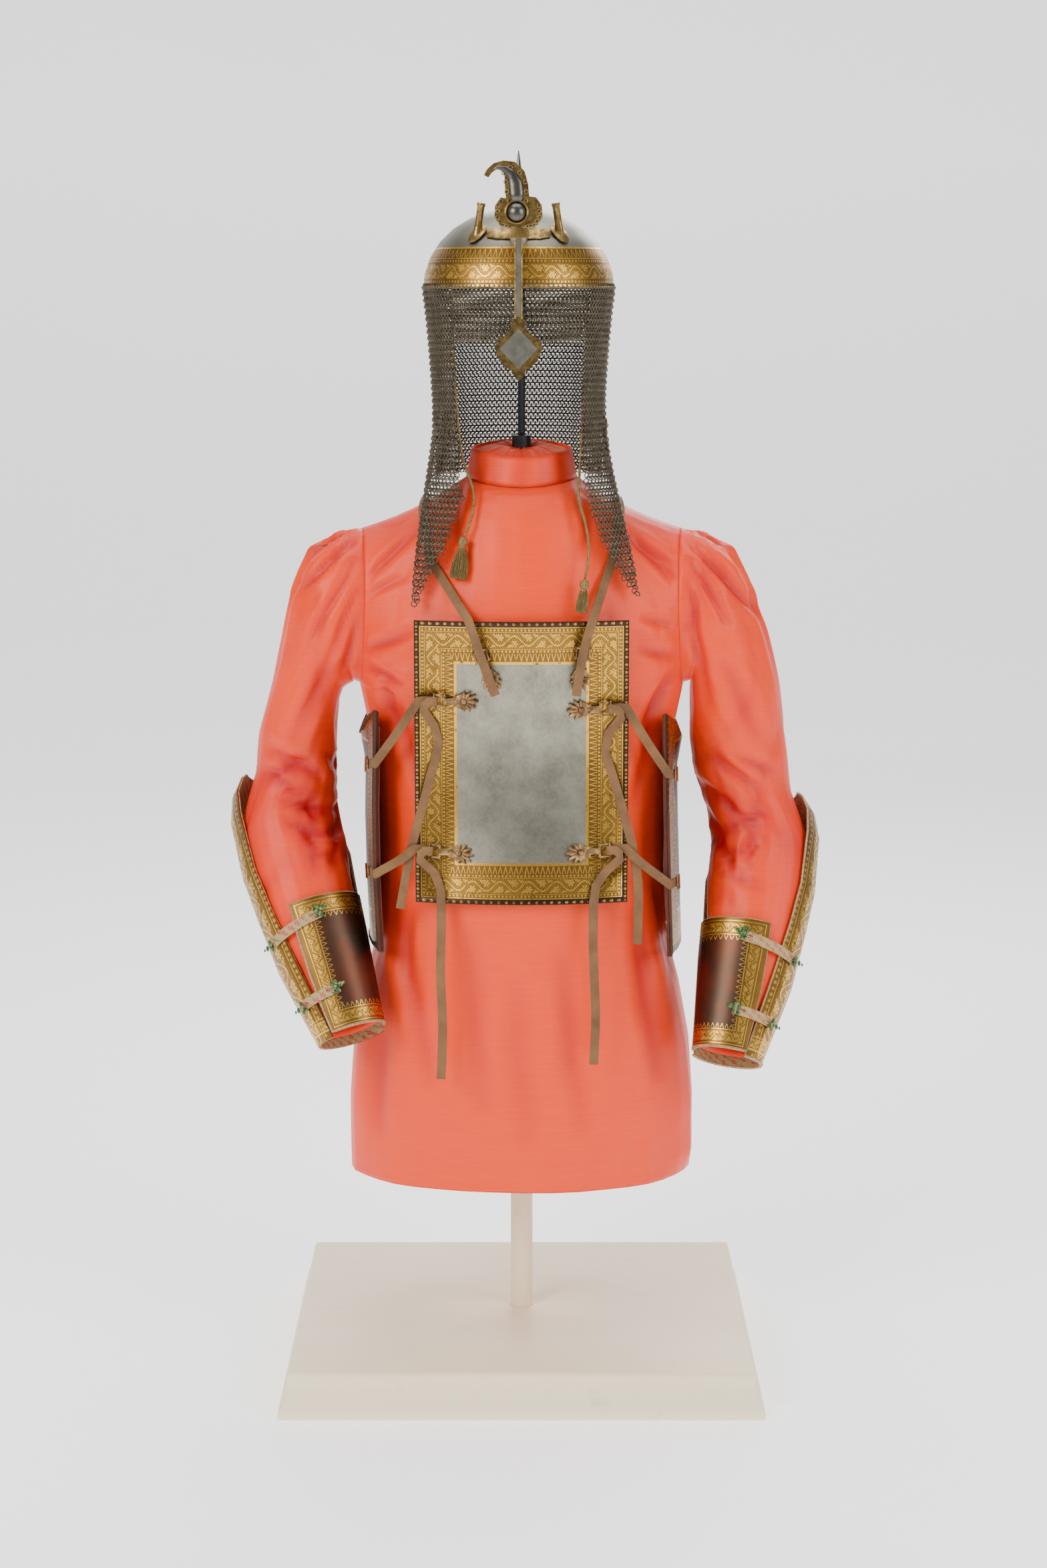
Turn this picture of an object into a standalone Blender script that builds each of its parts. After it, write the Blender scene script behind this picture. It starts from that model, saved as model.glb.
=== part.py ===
"""An Indo-Persian suit of armour on a limbless display stand, as a Blender script.

The suit is a silk tunic, four body plates tied together with leather straps, two arm
guards, and a helmet with a sliding nose bar and a mail curtain. It faces -Y, +X is the
viewer's right, +Z is up, and the origin is the middle of the base's underside.
The tables are in millimetres. build_object turns them into metres.
"""

import math

import bmesh
import bpy
from mathutils import Vector

MM = 0.001
WELD = 0.000001
TOUCH = 0.3

# Stand
BASE_TOP = (500.0, 405.0)
BASE_HEIGHT = 49.0
POST_RADIUS = 12.5
ROD_RADIUS = 4.0
SOCKET_RADIUS = 10.5
SOCKET_TOP = 1030.0

# Cloth
CLOTH = 1.6
UNDERARM_Z = 762.0
SHOULDER_TIP = (172.0, 0.0, 931.0)
NECK_SIDE = (60.0, 0.0, 986.0)
NECK_FRONT_Y = -66.0
NECK_FRONT_Z = 978.0
NECK_BACK_Y = 60.0
NECK_BACK_Z = 992.0
COLLAR_HEIGHT = 32.0
BODY_COLUMNS = 20
ARMHOLE_ROWS = 12

# Helmet and mail
HELMET_X = -3.0
RIM_Z = 1185.0
BOWL_RADIUS = 101.5
BOWL_HEIGHT = 83.0
STEEL = 1.5
MAIL = 1.6

# Body plates
PLATE = 2.0
FRONT_PLATE_WIDTH = 225.0
FRONT_PLATE_BOTTOM = 543.0
FRONT_PLATE_TOP = 844.0
FRONT_PLATE_Y = -127.0
FRONT_PLATE_BOW = 16.0
BACK_PLATE_Y = 115.8
SIDE_PLATE_DEPTH = 190.0
SIDE_PLATE_BOW = 17.0
LINING = 1.0
STRAP = 1.8
STRAP_WIDTH = 9.5

# Arm guards
GUARD = 1.6
GUARD_LINING = 1.0


def build_finish(name, colour, roughness, metallic=0.0):
    """A Principled material with the part's colour, roughness and metallic value."""
    finish = bpy.data.materials.new(name)
    finish.use_nodes = True
    shader = finish.node_tree.nodes["Principled BSDF"]
    shader.inputs["Base Color"].default_value = (*colour, 1.0)
    shader.inputs["Roughness"].default_value = roughness
    shader.inputs["Metallic"].default_value = metallic
    finish.diffuse_color = (*colour, 1.0)
    return finish


def build_object(name, points, faces, finish, sharp_angle=40.0):
    """One named object from points in millimetres, welded, closed and facing outwards."""
    shape = bmesh.new()
    corners = [shape.verts.new(Vector(point) * MM) for point in points]
    for face in faces:
        shape.faces.new([corners[index] for index in face])
    bmesh.ops.remove_doubles(shape, verts=shape.verts, dist=WELD)
    if shape.calc_volume(signed=True) < 0.0:
        bmesh.ops.reverse_faces(shape, faces=shape.faces)
    mesh = bpy.data.meshes.new(name)
    shape.to_mesh(mesh)
    shape.free()
    return place_mesh(name, mesh, finish, sharp_angle)


def place_mesh(name, mesh, finish, sharp_angle=40.0):
    """Give a mesh its material and smooth shading, and link its object to the scene."""
    mesh.materials.append(finish)
    mesh.shade_smooth()
    mesh.set_sharp_from_angle(angle=math.radians(sharp_angle))
    piece = bpy.data.objects.new(name, mesh)
    bpy.context.scene.collection.objects.link(piece)
    return piece


def curve_value(table, position, column):
    """Read a smooth value from a table of rows at any position along its first column."""
    rows = list(table)
    if position <= rows[0][0]:
        return rows[0][column]
    if position >= rows[-1][0]:
        return rows[-1][column]
    index = max(i for i, row in enumerate(rows) if row[0] <= position)
    low, high = rows[index], rows[index + 1]
    before = rows[max(index - 1, 0)]
    after = rows[min(index + 2, len(rows) - 1)]
    span = high[0] - low[0]
    t = (position - low[0]) / span
    slope_low = (high[column] - before[column]) / (high[0] - before[0]) * span
    slope_high = (after[column] - low[column]) / (after[0] - low[0]) * span
    start_pull = (2 * t**3 - 3 * t**2 + 1) * low[column] + (t**3 - 2 * t**2 + t) * slope_low
    return start_pull + (3 * t**2 - 2 * t**3) * high[column] + (t**3 - t**2) * slope_high


def smooth_route(points, count):
    """Evenly spaced points on a smooth curve through a short list of points."""
    marks = [0.0]
    for first, second in zip(points, points[1:]):
        marks.append(marks[-1] + (Vector(second) - Vector(first)).length)
    table = [(mark, *point) for mark, point in zip(marks, points)]
    dense = []
    for step in range(count * 8 + 1):
        position = marks[-1] * step / (count * 8)
        dense.append(Vector([curve_value(table, position, axis) for axis in (1, 2, 3)]))
    lengths = [0.0]
    for first, second in zip(dense, dense[1:]):
        lengths.append(lengths[-1] + (second - first).length)
    route = []
    for step in range(count):
        goal = lengths[-1] * step / (count - 1)
        index = min(sum(1 for length in lengths[1:-1] if length <= goal), len(dense) - 2)
        span = lengths[index + 1] - lengths[index]
        route.append(dense[index].lerp(dense[index + 1], (goal - lengths[index]) / span))
    return route


def smooth_step(value, low, high):
    """0 below low, 1 above high, and a soft rise between them."""
    t = min(max((value - low) / (high - low), 0.0), 1.0)
    return t * t * (3.0 - 2.0 * t)


def sheet_faces(rows, columns, closed, start=0):
    """The triangles of a grid of points, each cell split along the same diagonal."""
    faces = []
    for row in range(rows - 1):
        for column in range(columns if closed else columns - 1):
            after = (column + 1) % columns
            a = start + row * columns + column
            b = start + row * columns + after
            c = start + (row + 1) * columns + after
            d = start + (row + 1) * columns + column
            faces.append((a, b, c))
            faces.append((a, c, d))
    return faces


def build_wall(name, outer, inner, finish, closed=False, sharp_angle=40.0):
    """A wall between two grids of points, closed at its edges."""
    rows = len(outer)
    columns = len(outer[0])
    count = rows * columns
    points = [point for row in outer for point in row]
    points += [point for row in inner for point in row]
    faces = sheet_faces(rows, columns, closed)
    faces += [tuple(reversed(face)) for face in sheet_faces(rows, columns, closed, count)]
    for row in (0, rows - 1):
        for column in range(columns if closed else columns - 1):
            a = row * columns + column
            b = row * columns + (column + 1) % columns
            faces.append((a, a + count, b + count, b) if row == 0 else (b, b + count, a + count, a))
    if not closed:
        for column in (0, columns - 1):
            for row in range(rows - 1):
                a = row * columns + column
                b = a + columns
                faces.append((b, b + count, a + count, a) if column == 0 else (a, a + count, b + count, b))
    return build_object(name, points, faces, finish, sharp_angle)


def grid_normals(grid, closed=False):
    """Unit normals of a grid, pointing out when columns run left to right seen from outside."""
    rows = len(grid)
    columns = len(grid[0])
    normals = []
    for row in range(rows):
        line = []
        for column in range(columns):
            up = grid[min(row + 1, rows - 1)][column] - grid[max(row - 1, 0)][column]
            if closed:
                along = grid[row][(column + 1) % columns] - grid[row][column - 1]
            else:
                along = grid[row][min(column + 1, columns - 1)] - grid[row][max(column - 1, 0)]
            line.append(along.cross(up).normalized())
        normals.append(line)
    return normals


def shifted(grid, normals, distance):
    """The grid moved along its normals."""
    return [
        [point + normal * distance for point, normal in zip(points, directions)]
        for points, directions in zip(grid, normals)
    ]


def build_turned(name, centre, profile, sides, finish, axis=(0.0, 0.0, 1.0)):
    """A turned piece from rows of (radius, height), closed by flat ends."""
    direction = Vector(axis).normalized()
    side = direction.orthogonal().normalized()
    front = direction.cross(side)
    points = []
    for radius, height in profile:
        for step in range(sides):
            angle = 2.0 * math.pi * step / sides
            spoke = side * math.cos(angle) + front * math.sin(angle)
            points.append(Vector(centre) + direction * height + spoke * radius)
    faces = sheet_faces(len(profile), sides, True)
    faces.append(tuple(reversed(range(sides))))
    last = (len(profile) - 1) * sides
    faces.append(tuple(range(last, last + sides)))
    return build_object(name, points, faces, finish)


# Tunic

BODY_SECTIONS = (
    # height, half width, front depth, back depth
    (221.0, 189.0, 118.0, 112.0),
    (300.0, 191.0, 117.0, 112.0),
    (392.0, 183.0, 113.0, 110.0),
    (440.0, 172.0, 112.0, 107.0),
    (480.0, 161.0, 113.0, 104.0),
    (543.0, 156.0, 116.0, 102.0),
    (620.0, 157.0, 119.0, 104.0),
    (704.0, 164.5, 123.0, 110.0),
    (762.0, 176.0, 124.3, 113.0),
)
BODY_ROWS = (221.0, 242.0, 300.0, 366.0, 430.0, 480.0, 550.0, 628.0, 704.0, 762.0)
SQUARENESS = 2.15
SHOULDER_SHARE = 0.4
ARMHOLE_FRONT = 60.0
ARMHOLE_BACK = 54.0
ARMHOLE_INSET = 7.0
CHEST_ROUNDNESS = 2.0

SKIRT_FOLDS = (
    # place across, lean, half width, height, lowest, highest
    (-0.82, 0.05, 0.11, 5.0, 215.0, 480.0),
    (-0.52, 0.06, 0.12, 3.5, 215.0, 470.0),
    (-0.22, -0.02, 0.10, -2.5, 240.0, 500.0),
    (0.14, 0.03, 0.13, 3.0, 215.0, 450.0),
    (0.48, -0.04, 0.11, 3.5, 215.0, 490.0),
    (0.80, -0.10, 0.10, 7.0, 225.0, 470.0),
    (-0.66, -0.10, 0.12, 4.0, 500.0, 700.0),
    (0.68, 0.10, 0.12, 4.5, 500.0, 720.0),
)


def fold_height(across, height):
    """How far the folds of a panel stand out at one place."""
    total = 0.0
    for place, lean, half_width, rise, lowest, highest in SKIRT_FOLDS:
        share = (height - lowest) / (highest - lowest)
        if 0.0 <= share <= 1.0:
            middle = place + lean * share
            bump = max(0.0, 1.0 - abs(across - middle) / (2.0 * half_width))
            total += rise * bump * bump * (3.0 - 2.0 * bump) * math.cos(share * math.pi / 2.0)
    return total


def neckline_point(across, facing):
    """A point of the neck seam, across from -1 to 1 within the neckline."""
    depth, height = (NECK_FRONT_Y, NECK_FRONT_Z) if facing < 0 else (NECK_BACK_Y, NECK_BACK_Z)
    turn = across * math.pi / 2.0
    rise = height + (NECK_SIDE[2] - height) * math.sin(turn) ** 2
    return Vector((NECK_SIDE[0] * math.sin(turn), depth * math.cos(turn), rise))


def top_point(across, facing):
    """A point of a panel's top edge: the neckline, then the shoulder seam."""
    if abs(across) <= SHOULDER_SHARE:
        return neckline_point(across / SHOULDER_SHARE, facing)
    share = (abs(across) - SHOULDER_SHARE) / (1.0 - SHOULDER_SHARE)
    start, end = Vector(NECK_SIDE), Vector(SHOULDER_TIP)
    point = start.lerp(end, share)
    point.z -= 6.0 * math.sin(math.pi * share)
    point.x *= 1.0 if across > 0 else -1.0
    return point


def section_point(across, height, facing):
    """A point of the body below the underarm, on a rounded oval section."""
    half_width = curve_value(BODY_SECTIONS, height, 1)
    depth = curve_value(BODY_SECTIONS, height, 2 if facing < 0 else 3)
    turn = across * math.pi / 2.0
    power = 2.0 / SQUARENESS
    x = math.copysign(half_width * abs(math.sin(turn)) ** power, across)
    y = facing * depth * max(math.cos(turn), 0.0) ** power
    return Vector((x, y, height))


def armhole_turns():
    """Angles round half an armhole, closer together near the gathered shoulder."""
    shares = [row / ARMHOLE_ROWS for row in range(ARMHOLE_ROWS + 1)]
    return [-math.pi / 2.0 + math.pi * (1.35 * share - 0.35 * share * share) for share in shares]


def chest_point(across, turn, facing):
    """A point of the body above the underarm, between the armholes."""
    share = (1.0 + math.sin(turn)) / 2.0
    low = section_point(across, UNDERARM_Z, facing)
    high = top_point(across, facing)
    point = low.lerp(high, share)
    depth_left = max(1.0 - share**CHEST_ROUNDNESS, 0.0) ** (1.0 / CHEST_ROUNDNESS)
    point.y = high.y + (low.y - high.y) * depth_left
    pull = abs(across) ** 2.5 * math.cos(turn)
    point.y += facing * pull * (ARMHOLE_FRONT if facing < 0 else ARMHOLE_BACK)
    point.x -= math.copysign(pull * ARMHOLE_INSET, across)
    return point


def panel_grid(facing):
    """The outer points of the front (facing -1) or back (facing 1) of the tunic."""
    grid = []
    steps = range(BODY_COLUMNS + 1)
    spread = [-facing * (2.0 * step / BODY_COLUMNS - 1.0) for step in steps]
    for height in BODY_ROWS[:-1]:
        line = []
        for across in spread:
            point = section_point(across, height, facing)
            outward = Vector((point.x / 1.6, point.y, 0.0)).normalized()
            fade = 1.0 - smooth_step(abs(across), 0.88, 1.0)
            line.append(point + outward * fold_height(across, height) * fade)
        grid.append(line)
    for turn in armhole_turns():
        grid.append([chest_point(across, turn, facing) for across in spread])
    return grid


def join_normals(normals, others, rows, column, other_column):
    """Give two panels the same normals along the seam that they share."""
    for row in rows:
        shared = (normals[row][column] + others[row][other_column]).normalized()
        normals[row][column] = shared
        others[row][other_column] = shared


def tunic_grids():
    """Both panels' outer points and normals, before the seams are opened."""
    front, back = panel_grid(-1), panel_grid(1)
    front_normals, back_normals = grid_normals(front), grid_normals(back)
    last = BODY_COLUMNS
    underarm = len(BODY_ROWS) - 1
    for column in (0, last):
        join_normals(front_normals, back_normals, range(underarm + 1), column, last - column)
    top = len(front) - 1
    for column in range(last + 1):
        if abs(2.0 * column / last - 1.0) >= SHOULDER_SHARE - WELD:
            join_normals(front_normals, back_normals, (top,), column, last - column)
    return front, front_normals, back, back_normals


def open_seams(grid, facing):
    """Draw a panel's side and shoulder seams back from the next panel by half a gap."""
    underarm = len(BODY_ROWS) - 1
    top = len(grid) - 1
    for row, line in enumerate(grid):
        for column, point in enumerate(line):
            across = abs(2.0 * column / BODY_COLUMNS - 1.0)
            on_side = across > 1.0 - WELD and row <= underarm
            on_shoulder = row == top and across >= SHOULDER_SHARE - WELD
            if on_side or on_shoulder:
                point.y += facing * TOUCH / 2.0


def build_tunic(grids, silk):
    """The front and back panels."""
    front, front_normals, back, back_normals = grids
    pieces = (("tunic_front", front, front_normals, -1), ("tunic_back", back, back_normals, 1))
    for name, grid, normals, facing in pieces:
        outer = [[point.copy() for point in line] for line in grid]
        open_seams(outer, facing)
        build_wall(name, outer, shifted(outer, normals, -CLOTH), silk)


# Collar

def neck_ring(lift, spread, steps):
    """The neck seam all round, raised and drawn in, starting at the front middle."""
    ring = []
    for facing, turns in ((-1, range(0, steps)), (1, range(steps, 0, -1)), (1, range(0, -steps, -1)),
                          (-1, range(-steps, 0))):
        for turn in turns:
            point = neckline_point(turn / steps, facing)
            ring.append(Vector((point.x * spread, point.y * spread, point.z + lift)))
    return ring


def build_collar(silk):
    """The stand-up band, sewn on 0.3 mm above the neckline."""
    levels = ((TOUCH, 1.0), (COLLAR_HEIGHT / 2.0, 0.955), (COLLAR_HEIGHT, 0.9))
    rings = [neck_ring(lift, spread, 4) for lift, spread in levels]
    build_wall("collar", rings, shifted(rings, grid_normals(rings, True), -CLOTH), silk, closed=True)


def build_collar_top(silk):
    """The gathered cloth that closes the collar round the stand's socket."""
    top = neck_ring(COLLAR_HEIGHT, 0.9, 8)
    rings = []
    for share, lift, pucker in ((0.0, -3.0, 0.0), (0.5, 3.5, 0.8), (1.0, 0.0, 1.0)):
        ring = []
        for index, point in enumerate(top):
            angle = math.atan2(point.y, point.x)
            rim = SOCKET_RADIUS + 0.6
            middle = Vector((rim * math.cos(angle), rim * math.sin(angle), 1017.0))
            inward = Vector((point.x, point.y, 0.0)).normalized() * (CLOTH + 1.5)
            place = (point - inward).lerp(middle, share)
            place.z += lift + pucker * (1 if index % 2 else -1)
            ring.append(place)
        rings.append(ring)
    low = [[point - Vector((0.0, 0.0, CLOTH)) for point in ring] for ring in rings]
    build_wall("collar_top", rings, low, silk, closed=True)


# Arms

ELBOWS = {-1: (-262.0, 18.0, 625.0), 1: (268.0, 18.0, 600.0)}
WRISTS = {-1: (-185.0, -105.0, 402.0), 1: (223.0, -105.0, 378.0)}
GUARD_SECTIONS = (
    # share from elbow to wrist, bulge outwards, half width, half depth
    (-0.16, 0.0, 33.0, 50.0),
    (-0.08, 1.0, 52.0, 55.0),
    (0.0, 1.0, 61.0, 57.0),
    (0.2, 4.0, 64.0, 57.0),
    (0.4, 6.0, 59.0, 53.0),
    (0.63, 6.0, 54.0, 47.0),
    (0.83, 4.0, 47.0, 40.0),
    (1.04, 0.0, 38.0, 33.0),
)
SLEEVE_SECTIONS = {
    -1: (
        # centre x, centre y, centre z, tilt outwards, lean forwards, half width, half depth
        (-190.0, 0.0, 847.0, 5.0, 0.0, 82.0, 64.0),
        (-205.5, 0.0, 836.0, 17.0, 0.0, 76.0, 66.0),
        (-221.5, 0.0, 811.0, 27.0, 0.0, 61.0, 62.0),
        (-229.0, 2.0, 779.0, 40.0, 0.0, 48.0, 57.0),
        (-237.0, 6.0, 741.0, 56.0, 0.0, 43.0, 55.0),
        (-245.0, 9.0, 690.0, 68.0, 5.0, 47.0, 51.0),
        (-249.0, 12.0, 652.0, 80.0, 14.0, 45.5, 48.0),
    ),
    1: (
        (190.0, 0.0, 847.0, 4.5, 0.0, 82.0, 64.0),
        (206.0, 0.0, 834.0, 16.0, 0.0, 78.0, 66.0),
        (217.0, 0.0, 808.0, 29.0, 0.0, 67.0, 63.0),
        (226.0, 2.0, 775.0, 42.0, 0.0, 62.0, 60.0),
        (233.0, 6.0, 735.0, 55.0, 0.0, 60.0, 59.0),
        (240.0, 9.0, 680.0, 68.0, 5.0, 54.0, 54.0),
        (250.0, 12.0, 632.0, 80.0, 14.0, 47.0, 50.0),
    ),
}
SLEEVE_SHARES = (0.1, 0.28, 0.46, 0.66, 0.86, 1.0)
SLEEVE_CLEARANCE = GUARD + GUARD_LINING + 2.6
GATHERS = ((0, 0.7), (1, 3.2), (2, 2.6), (3, 1.2))
GATHER_REACH = math.radians(62.0)


def arm_frame(side):
    """The forearm's start, end, forward direction and outward direction."""
    start, end = Vector(ELBOWS[side]), Vector(WRISTS[side])
    along = (end - start).normalized()
    front = Vector((0.0, -1.0, 0.0))
    front = (front - along * front.dot(along)).normalized()
    outward = along.cross(front)
    if outward.x * side < 0:
        outward = -outward
    return start, end, front, outward


def guard_point(side, share, angle, inset=0.0):
    """A point of the arm guard's outside. The angle runs from the front, outwards."""
    start, end, front, outward = arm_frame(side)
    bulge, half_width, half_depth = (curve_value(GUARD_SECTIONS, share, column) for column in (1, 2, 3))
    centre = start + (end - start) * share + outward * bulge
    forward = front * (half_depth - inset) * math.cos(angle)
    return centre + forward + outward * (half_width - inset) * math.sin(angle)


def armhole_ring(grids, side):
    """The armhole's points, normals and directions away from the body, from the underarm."""
    front, front_normals, back, back_normals = grids
    underarm, top = len(BODY_ROWS) - 1, len(front) - 1
    column = BODY_COLUMNS if side > 0 else 0
    other = BODY_COLUMNS - column
    inner = column - side
    loop = [(front[row][column], front_normals[row][column], front[row][inner])
            for row in range(underarm, top + 1)]
    loop += [(back[row][other], back_normals[row][other], back[row][other + side])
             for row in range(top - 1, underarm, -1)]
    loop[0] = (loop[0][0], loop[0][1], front[underarm - 1][column])
    ring = []
    for index, (point, normal, inside) in enumerate(loop):
        tangent = loop[(index + 1) % len(loop)][0] - loop[index - 1][0]
        away = normal.cross(tangent).normalized()
        if away.dot(point - inside) < 0:
            away = -away
        ring.append((point, normal, away))
    return ring


def build_sleeve(name, side, grids, silk):
    """A sleeve gathered into the armhole, down to the wrist inside the arm guard."""
    seam = armhole_ring(grids, side)
    turns = armhole_turns()
    angles = [turn + math.pi / 2.0 for turn in turns]
    angles += [2.0 * math.pi - angle for angle in angles[-2:0:-1]]
    rings = [[point + away * TOUCH for point, _, away in seam]]
    for x, y, z, tilt, lean, half_width, half_depth in SLEEVE_SECTIONS[side]:
        tilt, lean = math.radians(tilt), math.radians(lean)
        outward = Vector((side * math.sin(tilt), 0.0, math.cos(tilt)))
        front = Vector((0.0, -math.cos(lean), math.sin(lean)))
        centre = Vector((x, y, z))
        rings.append([centre - outward * half_width * math.cos(angle) + front * half_depth * math.sin(angle)
                      for angle in angles])
    for share in SLEEVE_SHARES:
        rings.append([guard_point(side, share, angle - math.pi / 2.0, SLEEVE_CLEARANCE) for angle in angles])
    directions = grid_normals(rings, True)
    if directions[3][0].x * side > 0:
        directions = [[-direction for direction in line] for line in directions]
    for row, rise in GATHERS:
        for column, angle in enumerate(angles):
            reach = abs(angle - math.pi) / GATHER_REACH
            if reach < 1.0:
                fold = rise * math.cos(reach * math.pi / 2.0) * (1 if column % 2 else -1)
                rings[row + 1][column] += directions[row + 1][column] * fold
    directions = grid_normals(rings, True)
    if directions[3][0].x * side > 0:
        directions = [[-direction for direction in line] for line in directions]
    directions[0] = [normal for _, normal, _ in seam]
    build_wall(name, rings, shifted(rings, directions, -CLOTH), silk, closed=True)


# Stand

BASE_PROFILE = (
    # height, overhang beyond the top's edge
    (0.0, 9.5),
    (9.0, 9.5),
    (11.0, 8.0),
    (16.0, 3.0),
    (24.0, 0.5),
    (30.0, -2.0),
    (36.0, -2.0),
    (38.5, 0.0),
    (46.0, 0.0),
    (49.0, -2.5),
)


def build_stand_base(paint):
    """The moulded wooden base."""
    points = []
    for height, overhang in BASE_PROFILE:
        half_x = BASE_TOP[0] / 2.0 + overhang
        half_y = BASE_TOP[1] / 2.0 + overhang
        points += [(-half_x, -half_y, height), (half_x, -half_y, height),
                   (half_x, half_y, height), (-half_x, half_y, height)]
    faces = sheet_faces(len(BASE_PROFILE), 4, True)
    last = 4 * (len(BASE_PROFILE) - 1)
    faces += [(3, 2, 1, 0), (last, last + 1, last + 2, last + 3)]
    build_object("stand_base", points, faces, paint, 20.0)


FORM_SECTIONS = (
    # height, half width, half depth
    (330.0, 104.0, 66.0),
    (342.0, 122.0, 82.0),
    (420.0, 136.0, 90.0),
    (543.0, 142.0, 93.0),
    (660.0, 148.0, 99.0),
    (748.0, 158.0, 104.0),
)
FORM_PLACES = (-0.88, -0.68, -0.52, -0.4, -0.2, 0.0, 0.2, 0.4, 0.52, 0.68, 0.88)
FORM_SHARES = (0.12, 0.4, 0.62, 0.8, 0.91, 0.97, 1.0)
FORM_DROP = CLOTH + 0.9
FORM_TOP = 984.0
FORM_DEPTH = 0.85


def build_torso_form(padding):
    """The smooth limbless form, well inside the tunic and seated under its shoulder seams."""
    places = [(-1, across) for across in FORM_PLACES] + [(1, across) for across in reversed(FORM_PLACES)]
    rings = []
    power = 2.0 / SQUARENESS
    for height, half_width, half_depth in FORM_SECTIONS:
        ring = []
        for facing, across in places:
            turn = across * math.pi / 2.0
            x = half_width * math.copysign(abs(math.sin(turn)) ** power, across)
            ring.append(Vector((x, facing * half_depth * math.cos(turn) ** power, height)))
        rings.append(ring)
    for share in FORM_SHARES:
        turn = math.asin(2.0 * share - 1.0)
        ring = []
        for facing, across in places:
            point = chest_point(across, turn, facing)
            ring.append(Vector((point.x, point.y * FORM_DEPTH, point.z - FORM_DROP)))
        rings.append(ring)
    points = [point for ring in rings for point in ring]
    count = len(places)
    faces = sheet_faces(len(rings), count, True)
    faces.append(tuple(reversed(range(count))))
    last = count * (len(rings) - 1)
    around = [last + step for step, (_, across) in enumerate(places) if abs(across) <= SHOULDER_SHARE]
    seat = len(points)
    points += [Vector((points[index].x * 0.3, points[index].y * 0.3, FORM_TOP)) for index in around]
    for place, index in enumerate(around):
        after = (place + 1) % len(around)
        faces.append((index, around[after], seat + after, seat + place))
    faces.append(tuple(range(seat, seat + len(around))))
    build_object("torso_form", points, faces, padding)


def build_stand_metal(paint, black):
    """The painted post, the socket and rod above the neck, and the helmet's rest."""
    foot = BASE_HEIGHT + TOUCH
    build_turned("stand_post", (0.0, 0.0, 0.0),
                 ((POST_RADIUS, foot), (POST_RADIUS, FORM_SECTIONS[0][0] - TOUCH)), 20, paint)
    rest_top = RIM_Z + BOWL_HEIGHT - STEEL - 1.2
    build_turned("neck_rod", (0.0, 0.0, 0.0), (
        (SOCKET_RADIUS, FORM_TOP + TOUCH),
        (SOCKET_RADIUS, SOCKET_TOP),
        (ROD_RADIUS + 2.5, SOCKET_TOP + 1.0),
        (ROD_RADIUS, SOCKET_TOP + 3.0),
        (ROD_RADIUS, rest_top - 8.0),
        (12.0, rest_top - 5.0),
        (12.0, rest_top - 1.0),
        (9.0, rest_top),
    ), 14, black)


# Helmet

SPIKE_PROFILE = (
    # radius, height above the bowl
    (9.0, 0.0),
    (9.0, 1.5),
    (6.0, 3.5),
    (7.0, 6.0),
    (4.0, 10.0),
    (3.2, 16.0),
    (4.4, 32.0),
    (0.5, 59.2),
)
NASAL_Y = -106.5


def bowl_point(share, angle, inset):
    """A point of the bowl, share 0 at the rim and 1 at the top."""
    turn = share * math.pi / 2.0
    radius = (BOWL_RADIUS - inset) * math.cos(turn) ** 0.92
    height = RIM_Z + (BOWL_HEIGHT - inset) * math.sin(turn) ** 1.03
    return Vector((HELMET_X + radius * math.sin(angle), -radius * math.cos(angle), height))


def bowl_radius_at(height):
    """The bowl's outside radius at a height."""
    turn = math.asin(min(((height - RIM_Z) / BOWL_HEIGHT) ** (1.0 / 1.03), 1.0))
    return BOWL_RADIUS * math.cos(turn) ** 0.92


def build_bowl(steel):
    """The hollow bowl, closed at its top by a small flat."""
    shares = (0.0, 0.12, 0.26, 0.4, 0.54, 0.68, 0.82, 0.93)
    sides = 28
    points, faces = [], []
    for inset in (0.0, STEEL):
        start = len(points)
        for share in shares:
            points += [bowl_point(share, 2.0 * math.pi * step / sides, inset) for step in range(sides)]
        ring = sheet_faces(len(shares), sides, True, start)
        last = start + sides * (len(shares) - 1)
        points.append(Vector((HELMET_X, 0.0, RIM_Z + BOWL_HEIGHT - inset)))
        ring += [(last + step, last + (step + 1) % sides, len(points) - 1) for step in range(sides)]
        faces += ring if inset == 0.0 else [tuple(reversed(face)) for face in ring]
    below = len(points) // 2
    for step in range(sides):
        after = (step + 1) % sides
        faces.append((step, below + step, below + after, after))
    build_object("helmet_bowl", points, faces, steel)


NASAL_HALF_OUTLINE = (
    # half width, height, from the finial down to the leaf's tip
    (4.0, 1246.4),
    (4.0, 1210.0),
    (4.0, 1170.0),
    (5.0, 1154.0),
    (9.0, 1149.5),
    (7.0, 1145.0),
    (12.0, 1139.0),
    (20.0, 1134.0),
    (25.0, 1125.0),
    (20.0, 1113.0),
    (12.0, 1104.0),
    (7.0, 1101.0),
    (5.0, 1096.0),
    (0.0, 1091.0),
)
FINIAL_HALF_OUTLINE = (
    (12.0, 1246.4),
    (19.0, 1248.0),
    (24.5, 1256.0),
    (24.0, 1268.0),
    (18.0, 1276.0),
)
NASAL_THICKNESS = 2.0
NASAL_LEAN = 0.12
BOTEH_CENTRES = (
    # centre x, centre z, half width
    (-1.0, 1276.0, 12.0),
    (-2.0, 1288.0, 12.0),
    (-4.0, 1298.0, 11.0),
    (-9.0, 1305.0, 8.5),
    (-16.0, 1308.0, 5.0),
    (-24.0, 1307.0, 3.4),
    (-30.0, 1302.0, 3.0),
    (-33.0, 1297.0, 2.6),
)


def nasal_plane(height):
    """How far forward the leaning nose bar stands at a height."""
    return NASAL_Y + (height - RIM_Z) * NASAL_LEAN


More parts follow.
